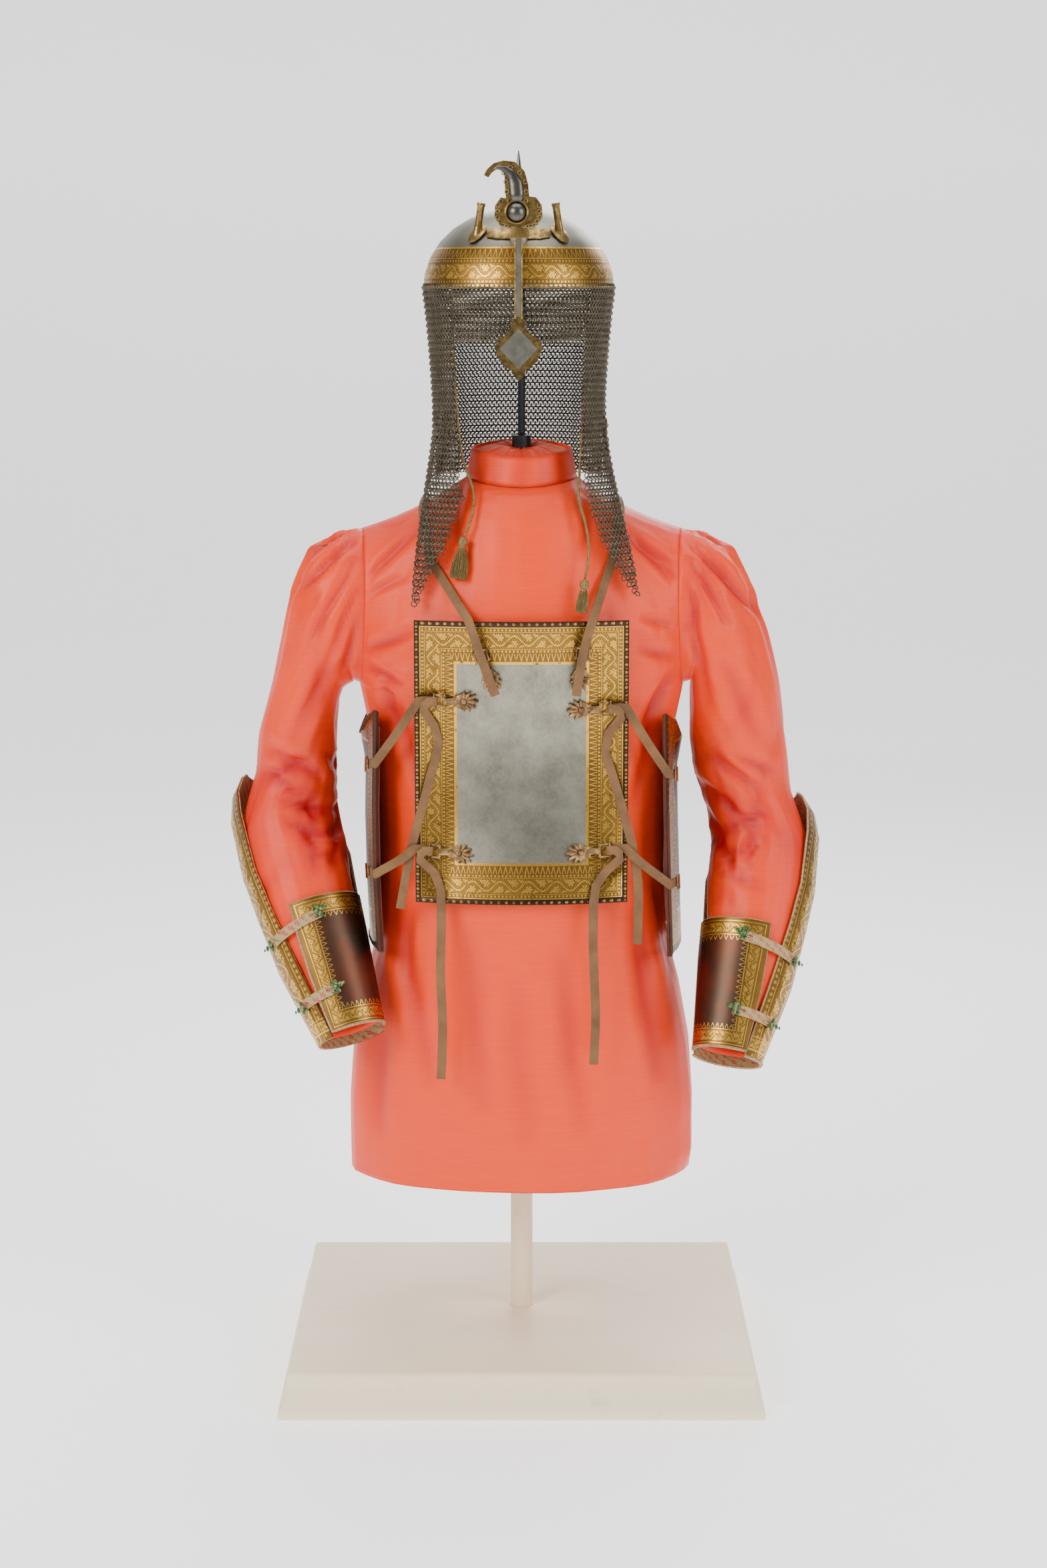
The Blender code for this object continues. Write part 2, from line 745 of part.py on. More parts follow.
def build_leaning_plate(name, outline, thickness, finish):
    """A flat plate cut to an outline of (x, z) points, in the nose bar's leaning plane."""
    count = len(outline)
    points = [(x, nasal_plane(z) - thickness / 2.0, z) for x, z in outline]
    points += [(x, nasal_plane(z) + thickness / 2.0, z) for x, z in outline]
    faces = [tuple(range(count)), tuple(reversed(range(count, 2 * count)))]
    faces += [(step, count + step, count + (step + 1) % count, (step + 1) % count) for step in range(count)]
    return build_object(name, points, faces, finish, 30.0)


def build_nasal(gold):
    """The sliding nose bar: leaf below, lobed finial with its hooked tip above."""
    half_outline = [(half, height) for half, height in reversed(NASAL_HALF_OUTLINE)]
    half_outline += list(FINIAL_HALF_OUTLINE)
    right = [(HELMET_X + half, height) for half, height in half_outline]
    left = [(HELMET_X - half, height) for half, height in half_outline[:0:-1]]
    upper, lower = [], []
    for index, (x, z, half) in enumerate(BOTEH_CENTRES):
        before = BOTEH_CENTRES[max(index - 1, 0)]
        after = BOTEH_CENTRES[min(index + 1, len(BOTEH_CENTRES) - 1)]
        along = Vector((after[0] - before[0], after[1] - before[1])).normalized()
        upper.append((HELMET_X + x + along.y * half, z - along.x * half))
        lower.append((HELMET_X + x - along.y * half, z + along.x * half))
    build_leaning_plate("nasal", right + upper + lower[::-1] + left, NASAL_THICKNESS, gold)


BRACKET_PLAN = (
    # across, stands forward of the bar rather than on the bowl
    (-33.0, False),
    (-22.0, False),
    (-10.0, False),
    (-10.0, True),
    (10.0, True),
    (10.0, False),
    (22.0, False),
    (33.0, False),
)
BRACKET_HEIGHTS = (1235.0, 1246.0)
BRACKET_WALL = 1.4


def build_bracket(gold):
    """The staple that the nose bar slides in, with a leaf on each side of it."""
    outer, inner = [], []
    for height in BRACKET_HEIGHTS:
        outer_line, inner_line = [], []
        for index, (across, forward) in enumerate(BRACKET_PLAN):
            side = math.copysign(1.0, across)
            on_staple = 2 <= index <= 5
            drop = 0.0 if abs(across) < 30.0 else (-2.0 if height > 1240.0 else 2.0)
            reach = bowl_radius_at(height + drop) + TOUCH + 0.3
            back = -math.sqrt(reach**2 - across**2)
            near = nasal_plane(height) - NASAL_THICKNESS / 2.0 - 0.35 if forward else back
            inner_x = across - side * BRACKET_WALL if on_staple else across
            inner_line.append(Vector((HELMET_X + inner_x, near, height + drop)))
            outer_line.append(Vector((HELMET_X + across, near - BRACKET_WALL, height + drop)))
        outer.append(outer_line)
        inner.append(inner_line)
    build_wall("nasal_bracket", outer, inner, gold)


PLUME_PROFILE = (
    # radius, height above the bowl, whether the ring lies flat on the bowl
    (9.0, 0.6, True),
    (9.0, 1.8, True),
    (4.8, 2.6, True),
    (3.9, 12.0, False),
    (3.9, 29.0, False),
    (4.5, 30.0, False),
    (4.5, 33.0, False),
)


def build_plume_holder(name, side, gold):
    """A plume tube standing on a foot that lies on the bowl."""
    foot_height = 1239.0
    foot_x = side * 43.0
    radius = bowl_radius_at(foot_height)
    foot = Vector((HELMET_X + foot_x, -math.sqrt(radius**2 - foot_x**2), foot_height))
    below, above = bowl_radius_at(foot_height - 1.0), bowl_radius_at(foot_height + 1.0)
    outward = Vector((foot_x, foot.y, radius * (below - above) / 2.0)).normalized()
    lean = Vector((-side * 0.15, -0.1, 1.0)).normalized()
    side_way = lean.orthogonal().normalized()
    front = lean.cross(side_way)
    sides = 10
    points = []
    for size, rise, flat in PLUME_PROFILE:
        for step in range(sides):
            angle = 2.0 * math.pi * step / sides
            spoke = (side_way * math.cos(angle) + front * math.sin(angle)) * size
            if flat:
                slide = (rise - spoke.dot(outward)) / lean.dot(outward)
                points.append(foot + spoke + lean * slide)
            else:
                points.append(foot + spoke + lean * rise)
    faces = sheet_faces(len(PLUME_PROFILE), sides, True)
    last = sides * (len(PLUME_PROFILE) - 1)
    faces += [tuple(reversed(range(sides))), tuple(range(last, last + sides))]
    build_object(name, points, faces, gold)


# Mail curtain, as hanging sheets. Angles run from the front to the viewer's right

MAIL_RADII = (
    # height, radius
    (985.0, 92.0),
    (1039.0, 90.5),
    (1078.0, 92.0),
    (1141.0, 96.5),
    (1184.7, 101.5),
)
MAIL_TOP = 1184.7
BROW_EDGE = 46.0
FALL_EDGE = 102.0
MAIL_FALLS = {
    -1: (
        # angle, across and forward of the line it hangs towards, bottom height
        (46.0, 42.0, 114.0, 968.0),
        (56.0, 68.0, 124.0, 932.0),
        (66.0, 94.0, 115.0, 892.0),
        (76.0, 112.0, 108.0, 850.0),
        (86.0, 114.0, 103.0, 920.0),
        (94.0, 114.0, 86.0, 970.0),
        (102.0, 108.0, 50.0, 986.0),
    ),
    1: (
        (46.0, 79.0, 115.0, 975.0),
        (56.0, 91.0, 117.0, 928.0),
        (66.0, 110.0, 111.0, 893.0),
        (76.0, 128.0, 101.0, 862.0),
        (86.0, 128.0, 92.0, 922.0),
        (94.0, 124.0, 76.0, 970.0),
        (102.0, 116.0, 50.0, 986.0),
    ),
}
FALL_ROWS = 9
FREE_HEIGHT = 1045.0
FALL_LOWEST = 850.0


def mail_point(angle, height):
    """A point of the mail where it still hangs round from the helmet's rim."""
    radius = curve_value(MAIL_RADII, height, 1)
    return Vector((HELMET_X + radius * math.sin(angle), -radius * math.cos(angle), height))


def fall_point(side, angle, share):
    """A point of a pointed mail fall, share 0 at the rim and 1 at its lower edge."""
    table = MAIL_FALLS[side]
    across, forward, bottom = (curve_value(table, angle, column) for column in (1, 2, 3))
    height = MAIL_TOP + (bottom - MAIL_TOP) * share
    point = mail_point(side * math.radians(angle), max(height, 985.0))
    point.z = height
    free = min(max((FREE_HEIGHT - height) / (FREE_HEIGHT - FALL_LOWEST), 0.0), 1.0)
    end = Vector((HELMET_X + side * across, -forward, height))
    return point.lerp(end, free * free * (3.0 - 2.0 * free) * 0.5 + free * 0.5)


def build_mail(steel):
    """The brow piece, the two pointed falls and the back of the mail curtain."""
    edge = math.radians(BROW_EDGE) - TOUCH / 100.0
    steps = 10
    turns = [edge * (2.0 * step / steps - 1.0) for step in range(steps + 1)]
    grid = [[mail_point(turn, height) for turn in turns] for height in (1130.0, 1148.0, 1166.0, MAIL_TOP)]
    build_wall("mail_brow", grid, shifted(grid, grid_normals(grid), -MAIL), steel)

    steps = 16
    start = math.radians(FALL_EDGE) + TOUCH / 100.0
    turns = [start + (2.0 * math.pi - 2.0 * start) * step / steps for step in range(steps + 1)]
    heights = (985.0, 1012.0, 1039.0, 1078.0, 1110.0, 1141.0, MAIL_TOP)
    grid = [[mail_point(turn, height) for turn in turns] for height in heights]
    build_wall("mail_back", grid, shifted(grid, grid_normals(grid), -MAIL), steel)

    for side, name in ((-1, "mail_fall_left"), (1, "mail_fall_right")):
        angles = (46.0, 53.0, 60.0, 67.0, 76.0, 85.0, 93.0, 102.0)
        if side < 0:
            angles = angles[::-1]
        grid = [[fall_point(side, angle, 1.0 - row / FALL_ROWS) for angle in angles]
                for row in range(FALL_ROWS + 1)]
        turns = [math.radians(angle) for angle in angles]
        directions = [Vector((side * math.sin(turn), -math.cos(turn), 0.0)) for turn in turns]
        build_wall(name, grid, shifted(grid, [directions] * len(grid), -MAIL), steel)


# Tie cords and tassels

CORD_RADIUS = 1.6
CORD_ROUTES = {
    -1: ((-72.0, -66.0, 1179.0), (-71.0, -58.0, 1120.0), (-68.0, -54.0, 1060.0), (-62.0, -58.0, 1010.0),
         (-50.0, -78.0, 975.0), (-52.0, -92.0, 950.0), (-60.0, -101.7, 931.0)),
    1: ((68.0, -66.0, 1179.0), (68.0, -57.0, 1120.0), (65.0, -54.0, 1060.0), (62.0, -60.0, 1010.0),
        (60.0, -82.0, 970.0), (67.0, -97.0, 942.0), (70.0, -111.0, 915.0), (66.0, -119.0, 888.0)),
}
TASSEL_DROPS = {-1: (-6.0, -6.2, -44.0), 1: (-4.0, -7.0, -34.0)}


def build_cord(name, side, gold):
    """A braided tie cord that hangs inside the mail's front edge."""
    curve = bpy.data.curves.new(name, "CURVE")
    curve.dimensions = "3D"
    curve.bevel_depth = CORD_RADIUS * MM
    curve.bevel_resolution = 2
    curve.use_fill_caps = True
    route = smooth_route(CORD_ROUTES[side], 20)
    spline = curve.splines.new("POLY")
    spline.points.add(len(route) - 1)
    for knot, point in zip(spline.points, route):
        knot.co = (*(point * MM), 1.0)
    curve.materials.append(gold)
    piece = bpy.data.objects.new(name, curve)
    bpy.context.scene.collection.objects.link(piece)


def build_tassel(name, side, gold):
    """A turned head with its strands fused to it, hanging from a cord's end."""
    top = Vector(CORD_ROUTES[side][-1])
    drop = Vector(TASSEL_DROPS[side])
    along = drop.normalized()
    top = top + along * (CORD_RADIUS * 0.2 + TOUCH + 0.4)
    side_way = along.orthogonal().normalized()
    front = along.cross(side_way)
    sides = 8
    points, faces = [], []
    for radius, place in ((1.2, 0.0), (4.5, 3.0), (5.0, 7.0), (3.0, 10.0), (4.2, 13.0)):
        for step in range(sides):
            angle = 2.0 * math.pi * step / sides
            spoke = side_way * math.cos(angle) + front * math.sin(angle)
            points.append(top + along * place + spoke * radius)
    faces += sheet_faces(4, sides, True)
    faces.append(tuple(reversed(range(sides))))
    root_start = 4 * sides
    hub = len(points)
    points.append(top + along * 13.0)
    for step in range(sides):
        after = (step + 1) % sides
        first, second = root_start + step, root_start + after
        spokes = [first]
        for share in (1 / 3, 2 / 3):
            spokes.append(len(points))
            points.append(points[first].lerp(points[second], share))
        spokes.append(second)
        faces.append((3 * sides + step, 3 * sides + after, *reversed(spokes)))
        for left, right in zip(spokes, spokes[1:]):
            middle = (points[left] + points[right] + points[hub]) / 3.0
            outward = (middle - points[hub]).normalized()
            tip = len(points)
            spread = 3.5 + 0.5 * math.sin(7.0 * tip)
            reach = drop.length - 13.0 + 2.0 * math.cos(5.0 * tip)
            points.append(middle + along * reach + outward * spread)
            faces += [(left, right, tip), (right, hub, tip), (hub, left, tip)]
    return build_object(name, points, faces, gold)


# Body plates

RIM_WIDTH = 5.0
RIM_RISE = 1.2
RIM_STEP = 1.0


def edged_steps(low, high, count):
    """Positions across a plate, with a raised rim's two lines at each end."""
    inner_low, inner_high = low + RIM_WIDTH + RIM_STEP, high - RIM_WIDTH - RIM_STEP
    middle = [inner_low + (inner_high - inner_low) * step / count for step in range(count + 1)]
    return [low, low + RIM_WIDTH, *middle, high - RIM_WIDTH, high]


def front_plate_y(x):
    """The front plate's outside, bowed about an upright line."""
    return FRONT_PLATE_Y + FRONT_PLATE_BOW * (2.0 * x / FRONT_PLATE_WIDTH) ** 2


def build_front_and_back_plates(steel):
    """The decorated front plate and the plain back plate, both with a raised rim."""
    plates = (
        # name, facing, half width, bottom, top, middle y
        ("front_plate", -1, FRONT_PLATE_WIDTH / 2.0, FRONT_PLATE_BOTTOM, FRONT_PLATE_TOP, FRONT_PLATE_Y),
        ("back_plate", 1, 105.0, 548.0, 838.0, BACK_PLATE_Y),
    )
    for name, facing, half, bottom, top, middle in plates:
        outer, inner = [], []
        for height in edged_steps(bottom, top, 3):
            outer_line, inner_line = [], []
            for x in edged_steps(-half, half, 6):
                across = -facing * x
                y = middle - facing * FRONT_PLATE_BOW * (2.0 * across / FRONT_PLATE_WIDTH) ** 2
                on_rim = half - abs(x) <= RIM_WIDTH or min(height - bottom, top - height) <= RIM_WIDTH
                outer_line.append(Vector((across, y + facing * (RIM_RISE if on_rim else 0.0), height)))
                inner_line.append(Vector((across, y - facing * PLATE, height)))
            outer.append(outer_line)
            inner.append(inner_line)
        build_wall(name, outer, inner, steel, sharp_angle=20.0)


SIDE_PLATES = {
    -1: ((485.0, 168.0), (600.0, 172.0), (704.0, 170.5), (745.0, 170.0)),
    1: ((480.0, 177.0), (600.0, 172.5), (704.0, 170.0), (741.0, 169.5)),
}
SCOOP_DEPTH = 37.0
SCOOP_FLARE = 6.0
SIDE_SHARES = (0.0, 0.03, 0.3, 0.6, 0.86, 0.95, 1.0)


def side_plate_point(side, place, share, stand_out):
    """A point of a side plate's outside, place -1 at the front edge and 1 at the back."""
    table = SIDE_PLATES[side]
    half = SIDE_PLATE_DEPTH / 2.0
    scoop = math.cos(place * math.pi / 2.0) ** 2
    bottom = table[0][0]
    top = table[-1][0] - SCOOP_DEPTH * scoop
    height = bottom + (top - bottom) * share
    x = curve_value(table, height, 1) - SIDE_PLATE_BOW * place * place
    x += stand_out + SCOOP_FLARE * scoop * max(share - 0.86, 0.0) / 0.14
    return Vector((side * x, half * place, height))


def build_side_plate(side, name, steel, lining_name, leather):
    """A side plate with a raised rim and a flared underarm scoop, and its lining."""
    places = [place / (SIDE_PLATE_DEPTH / 2.0) for place in edged_steps(-95.0, 95.0, 6)]
    if side < 0:
        places = places[::-1]
    outer, inner = [], []
    for share in SIDE_SHARES:
        rim = [RIM_RISE if abs(place) > 0.945 else 0.0 for place in places]
        outer.append([side_plate_point(side, place, share, rise) for place, rise in zip(places, rim)])
        inner.append([side_plate_point(side, place, share, -PLATE) for place in places])
    build_wall(name, outer, inner, steel, sharp_angle=20.0)
    near, far = -PLATE - TOUCH, -PLATE - TOUCH - LINING
    shares = (0.004, 0.3, 0.6, 0.86, 0.94)
    places = [1.012 * place for place in (-1.0, -0.66, -0.33, 0.0, 0.33, 0.66, 1.0)]
    if side < 0:
        places = places[::-1]
    outer = [[side_plate_point(side, place, share, near) for place in places] for share in shares]
    inner = [[side_plate_point(side, place, share, far) for place in places] for share in shares]
    build_wall(lining_name, outer, inner, leather)


# Buckles

BUCKLE_HALF_LEAF = (
    # distance from the leaf's tip, half width
    (4.0, 3.0),
    (8.0, 5.0),
    (10.0, 8.0),
    (16.0, 8.6),
    (21.0, 6.0),
    (25.0, 3.6),
    (33.0, 3.6),
)
FRAME_START = 33.0
FRAME_END = 46.0
FRAME_HALF = 7.6
FRAME_BAR = 2.0
BUCKLE_THICKNESS = 2.2
FRONT_PLATE_BUCKLE_GAP = 0.6
FRAME_RISE = 3.0
FRONT_BUCKLES = (
    # name, frame x, frame z, angle of the way from leaf to frame, from the right
    ("buckle_top_left", -42.0, 808.0, 112.0),
    ("buckle_top_right", 64.0, 811.0, 84.0),
    ("buckle_upper_left", -86.0, 760.0, 180.0),
    ("buckle_upper_right", 88.0, 752.0, 2.0),
    ("buckle_lower_left", -92.0, 600.0, 176.0),
    ("buckle_lower_right", 88.0, 601.0, 4.0),
)


def build_slab(name, front, back, faces, finish, sharp_angle=30.0):
    """A flat piece with holes: its front points, back points and the faces between them."""
    count = len(front)
    edges = {}
    for face in faces:
        for first, second in zip(face, face[1:] + face[:1]):
            edges[(first, second)] = True
    walls = [(second, first, first + count, second + count) for first, second in edges
             if (second, first) not in edges]
    solid = list(faces) + [tuple(index + count for index in reversed(face)) for face in faces] + walls
    return build_object(name, list(front) + list(back), solid, finish, sharp_angle)


def build_front_buckles(brass):
    """A palmette with a hinged frame for each strap, lying on the front plate."""
    leaf = [(0.0, 0.0)] + [(along, -half) for along, half in BUCKLE_HALF_LEAF]
    leaf += [(along, half) for along, half in reversed(BUCKLE_HALF_LEAF)]
    near, far = FRAME_START, FRAME_END
    ring = [(near, -FRAME_HALF), (far, -FRAME_HALF), (far, FRAME_HALF), (near, FRAME_HALF)]
    hole = [(near + FRAME_BAR, -FRAME_HALF + FRAME_BAR), (far - FRAME_BAR, -FRAME_HALF + FRAME_BAR),
            (far - FRAME_BAR, FRAME_HALF - FRAME_BAR), (near + FRAME_BAR, FRAME_HALF - FRAME_BAR)]
    flat = leaf + ring + hole
    neck_low, neck_high = len(BUCKLE_HALF_LEAF), len(BUCKLE_HALF_LEAF) + 1
    a, b, c, d = (len(leaf) + step for step in range(4))
    e, f, g, h = (len(leaf) + 4 + step for step in range(4))
    faces = [(0, 1, len(leaf) - 1), (a, b, f, e), (b, c, g, f), (c, d, h, g)]
    faces += [(row, row + 1, len(leaf) - row - 1, len(leaf) - row) for row in range(1, neck_low)]
    faces += [(neck_low, a, e), (neck_high, neck_low, e, h), (d, neck_high, h)]
    for name, x, z, turn in FRONT_BUCKLES:
        turn = math.radians(turn)
        way = Vector((math.cos(turn), math.sin(turn)))
        cross = Vector((-way.y, way.x))
        middle = Vector((x, z)) - way * (FRAME_START + FRAME_END) / 2.0
        places = [middle + way * along + cross * across for along, across in flat]
        raised = [FRAME_RISE if along > FRAME_START - 5.0 else 0.0 for along, _ in flat]
        rise = [FRONT_PLATE_BUCKLE_GAP + lift for lift in raised]
        back = [Vector((p.x, front_plate_y(p.x) - lift, p.y)) for p, lift in zip(places, rise)]
        front = [point - Vector((0.0, BUCKLE_THICKNESS, 0.0)) for point in back]
        build_slab(name, front, back, faces, brass)


# Straps

SIDE_STRAPS = (
    # name, side, keeper height, frame x, frame z, then the tail's (x, z) points
    ("strap_upper_left", -1, 689.0, -86.0, 760.0,
     ((-87.0, 722.0), (-97.0, 675.0), (-108.0, 634.0), (-117.0, 600.0), (-129.0, 536.0))),
    ("strap_lower_left", -1, 570.0, -92.0, 600.0,
     ((-88.0, 570.0), (-85.0, 530.0), (-86.0, 470.0), (-84.0, 410.0), (-86.0, 353.0))),
    ("strap_upper_right", 1, 678.0, 88.0, 752.0,
     ((87.0, 716.0), (97.0, 677.0), (107.0, 642.0), (118.0, 600.0), (124.0, 560.0), (123.0, 500.0))),
    ("strap_lower_right", 1, 558.0, 88.0, 601.0,
     ((80.0, 566.0), (76.0, 520.0), (77.0, 470.0), (79.0, 420.0), (77.0, 369.0))),
)
UNDER_FRAME = 1.9
OVER_FRAME = UNDER_FRAME + 2.0 * (STRAP / 2.0 + TOUCH) + BUCKLE_THICKNESS + 1.4


def front_of_suit(x, z, stand_off):
    """How far forward a strap lies where it hangs over the front plate, its rim or the skirt."""
    half = FRONT_PLATE_WIDTH / 2.0
    over_plate = FRONT_PLATE_Y + FRONT_PLATE_BOW * min(abs(x) / half, 1.1) ** 2 - stand_off
    over_plate -= RIM_RISE * smooth_step(abs(x), 94.0, 104.0)
    if z < FRONT_PLATE_BOTTOM + 12.0:
        share = smooth_step(z, FRONT_PLATE_BOTTOM - 70.0, FRONT_PLATE_BOTTOM + 12.0)
        return (FRONT_PLATE_Y - 3.0) * (1.0 - share) + (over_plate - RIM_RISE) * share
    return over_plate


def facing_of_suit(x, z):
    """The direction that the front of the suit faces under a strap."""
    slope = (front_of_suit(x + 1.0, z, 0.0) - front_of_suit(x - 1.0, z, 0.0)) / 2.0
    return Vector((slope, -1.0, 0.0)).normalized()


def build_ribbon(name, path, facings, finish, width=STRAP_WIDTH, thickness=STRAP):
    """A flat strap along a path, turned to face its own direction at each point."""
    outer, inner = [], []
    for index, (point, facing) in enumerate(zip(path, facings)):
        before, after = path[max(index - 1, 0)], path[min(index + 1, len(path) - 1)]
        along = (after - before).normalized()
        normal = (facing - along * facing.dot(along)).normalized()
        across = normal.cross(along)
        edges = [point - across * width / 2.0, point + across * width / 2.0]
        outer.append([edge + normal * thickness / 2.0 for edge in edges])
        inner.append([edge - normal * thickness / 2.0 for edge in edges])
    build_wall(name, outer, inner, finish)


CROSSINGS = {-1: 123.0, 1: 121.5}


def strap_hump(x, crossing):
    """How far a strap rises to pass over the tail of the one above."""
    return 5.5 * math.exp(-(((abs(x) - crossing) / 12.0) ** 2)) if crossing else 0.0


def loop_over_bar(last, way, forward):
    """Points and facings of a strap that turns up through a frame and back over its bar."""
    radius = (OVER_FRAME - UNDER_FRAME) / 2.0
    points, facings = [], []
    for step in range(1, 6):
        turn = math.pi * step / 5.0
        points.append(last + way * radius * math.sin(turn) + forward * radius * (1.0 - math.cos(turn)))
        facings.append(forward * math.cos(turn) - way * math.sin(turn))
    return points, facings


def build_side_straps(leather):
    """Straps from the side plates through the front buckles, with their long hanging tails."""
    forward = Vector((0.0, -1.0, 0.0))
    turns = {name.replace("buckle", "strap"): turn for name, _, _, turn in FRONT_BUCKLES}
    for name, side, keeper_z, frame_x, frame_z, tail in SIDE_STRAPS:
        table = SIDE_PLATES[side]
        share = (keeper_z - table[0][0]) / (table[-1][0] - table[0][0])
        outward = Vector((side, 0.0, 0.0))
        gap = STRAP / 2.0 + TOUCH + RIM_RISE
        path = [side_plate_point(side, place, share, gap + 0.3) for place in (-0.72, -0.86)]
        path.append(side_plate_point(side, -0.97, share, gap + 0.6))
        path.append(side_plate_point(side, -1.0, share, gap) + Vector((0.0, -gap - 2.0, 0.0)))
        facings = [outward, outward, outward, (outward + forward * 2.0).normalized()]
        turn = math.radians(turns[name])
        away = Vector((math.cos(turn), 0.0, math.sin(turn)))
        frame = Vector((frame_x, 0.0, frame_z)) + away * 4.6
        crossing = CROSSINGS[side] if "lower" in name else 0.0
        corner = path[-1]
        near = frame + away * 17.0
        knots = [corner, corner.lerp(near + Vector((0.0, 0.0, -3.0)), 0.5), near]
        flat = smooth_route([(knot.x, 0.0, knot.z) for knot in knots], 7)
        flat += [frame + away * place for place in (11.0, 5.0, 0.0)]
        length = len(flat) - 1
        for step, place in enumerate(flat[1:], 1):
            over = front_of_suit(place.x, place.z, UNDER_FRAME + strap_hump(place.x, crossing))
            part = smooth_step(step / length, 0.0, 0.5)
            place.y = corner.y + (over - corner.y) * part
            path.append(place)
            facings.append(facing_of_suit(place.x, place.z) * part + forward * (1.0 - part))
        points, directions = loop_over_bar(path[-1], -away, facings[-1].normalized())
        path += points
        facings += directions
        last = path[-1]
        turned = last + away * 10.0 + Vector((0.0, 0.0, -10.0))
        route = [last + away * 5.0, last + away * 8.5 + Vector((0.0, 0.0, -3.5))]
        route += smooth_route([(turned.x, 0.0, turned.z)] + [(x, 0.0, z) for x, z in tail], 13)
        for knot in route:
            sunk = smooth_step(last.z - knot.z, 8.0, 40.0)
            height = OVER_FRAME + (UNDER_FRAME - OVER_FRAME) * sunk
            height += (1.0 - sunk) * 1.3 * strap_hump(knot.x, crossing)
            knot.y = front_of_suit(knot.x, knot.z, height)
            path.append(knot)
            facings.append(-facing_of_suit(knot.x, knot.z))
        build_ribbon(name, path, facings, leather)


SHOULDER_STRAPS = (
    # name, side, the strap's (x, z) points from its tail up to the plate's top edge
    ("shoulder_strap_left", -1, ((-27.0, 768.0), (-42.0, 808.0), (-55.0, 846.0))),
    ("shoulder_strap_right", 1, ((57.0, 767.0), (64.0, 811.0), (75.0, 850.0))),
)
SHOULDER_CROSSING = (
    # across, share of the chest's height, facing
    (0.50, 0.66, -1),
    (0.57, 0.80, -1),
    (0.61, 0.90, -1),
    (0.63, 0.96, -1),
    (0.63, 0.99, -1),
    (0.63, 1.0, -1),
    (0.63, 0.99, 1),
    (0.63, 0.96, 1),
    (0.61, 0.90, 1),
    (0.55, 0.76, 1),
    (0.47, 0.55, 1),
)
CLOTH_CLEARANCE = 1.6


def on_cloth(across, share, facing, stand_off):
    """A point above the chest or upper back, with the direction that the cloth faces there."""
    turn = math.asin(2.0 * share - 1.0)
    point = chest_point(across, turn, facing)
    stand_off += 1.6 * smooth_step(share, 0.92, 1.0)
    if share == 1.0:
        return point + Vector((0.0, 0.0, stand_off)), Vector((0.0, 0.0, 1.0))
    beside = chest_point(across + 0.02, turn, facing) - chest_point(across - 0.02, turn, facing)
    above = point - chest_point(across, math.asin(2.0 * share - 1.02), facing)
    normal = beside.cross(above).normalized()
    if normal.y * facing < 0.0:
        normal = -normal
    return point + normal * stand_off, normal


def build_shoulder_straps(leather):
    """Straps from the front plate's top buckles over the shoulders to the back plate."""
    reach = OVER_FRAME + 0.6
    for name, side, points in SHOULDER_STRAPS:
        path, facings = [], []
        for knot in smooth_route([(x, 0.0, z) for x, z in points], 6):
            knot.y = front_of_suit(knot.x, knot.z, reach)
            path.append(knot)
            facings.append(facing_of_suit(knot.x, knot.z))
        for across, share, facing in SHOULDER_CROSSING:
            point, normal = on_cloth(side * across, share, facing, STRAP / 2.0 + CLOTH_CLEARANCE)
            path.append(point)
            facings.append(normal)
        for height in (842.0, 826.0):
            x = side * 66.0
            outside = BACK_PLATE_Y - FRONT_PLATE_BOW * (2.0 * x / FRONT_PLATE_WIDTH) ** 2
            path.append(Vector((x, outside + RIM_RISE + TOUCH + STRAP / 2.0 + 1.2, height)))
            facings.append(Vector((0.0, 1.0, 0.0)))
        build_ribbon(name, path, facings, leather)


def build_back_straps(leather):
    """Plain straps from the side plates' rear edges to the back plate."""
    gap = STRAP / 2.0 + TOUCH
    backward = Vector((0.0, 1.0, 0.0))
    for side, side_name in ((-1, "left"), (1, "right")):
        for level, height in (("upper", 700.0), ("lower", 570.0)):
            table = SIDE_PLATES[side]
            share = (height - table[0][0]) / (table[-1][0] - table[0][0])
            outward = Vector((side, 0.0, 0.0))
            path = [side_plate_point(side, 0.72, share, gap + 0.2)]
            path.append(side_plate_point(side, 0.86, share, gap + RIM_RISE))
            corner = side_plate_point(side, 1.0, share, gap + RIM_RISE)
            corner += Vector((side * 0.5, gap + 1.0, 0.0))
            x = side * 92.0
            outside = BACK_PLATE_Y - FRONT_PLATE_BOW * (2.0 * x / FRONT_PLATE_WIDTH) ** 2
            seat = Vector((x, outside + RIM_RISE + gap + 0.3, height))
            end = seat + Vector((-side * 20.0, 4.5, 0.0))
            path += [corner, corner.lerp(seat, 0.5) + Vector((0.0, 2.0, 0.0)), seat, end]
            facings = [outward, outward, (outward + backward).normalized(), backward, backward, backward]
            build_ribbon("strap_back_" + level + "_" + side_name, path, facings, leather)


def build_side_buckles(brass):
    """The small keepers that hold the straps' ends on the side plates."""
    for name, side, keeper_z, *_ in SIDE_STRAPS:
        table = SIDE_PLATES[side]
        lift = RIM_RISE + STRAP + 5.0 * TOUCH
        outer, inner = [], []
        for rise in (-8.5, 8.5):
            share = (keeper_z + rise - table[0][0]) / (table[-1][0] - table[0][0])
            places = (-0.84, -0.78, -0.72)
            if side < 0:
                places = places[::-1]
            outer.append([side_plate_point(side, place, share, lift + 1.6) for place in places])
            inner.append([side_plate_point(side, place, share, lift) for place in places])
        build_wall(name.replace("strap", "keeper"), outer, inner, brass)


# Arm guards

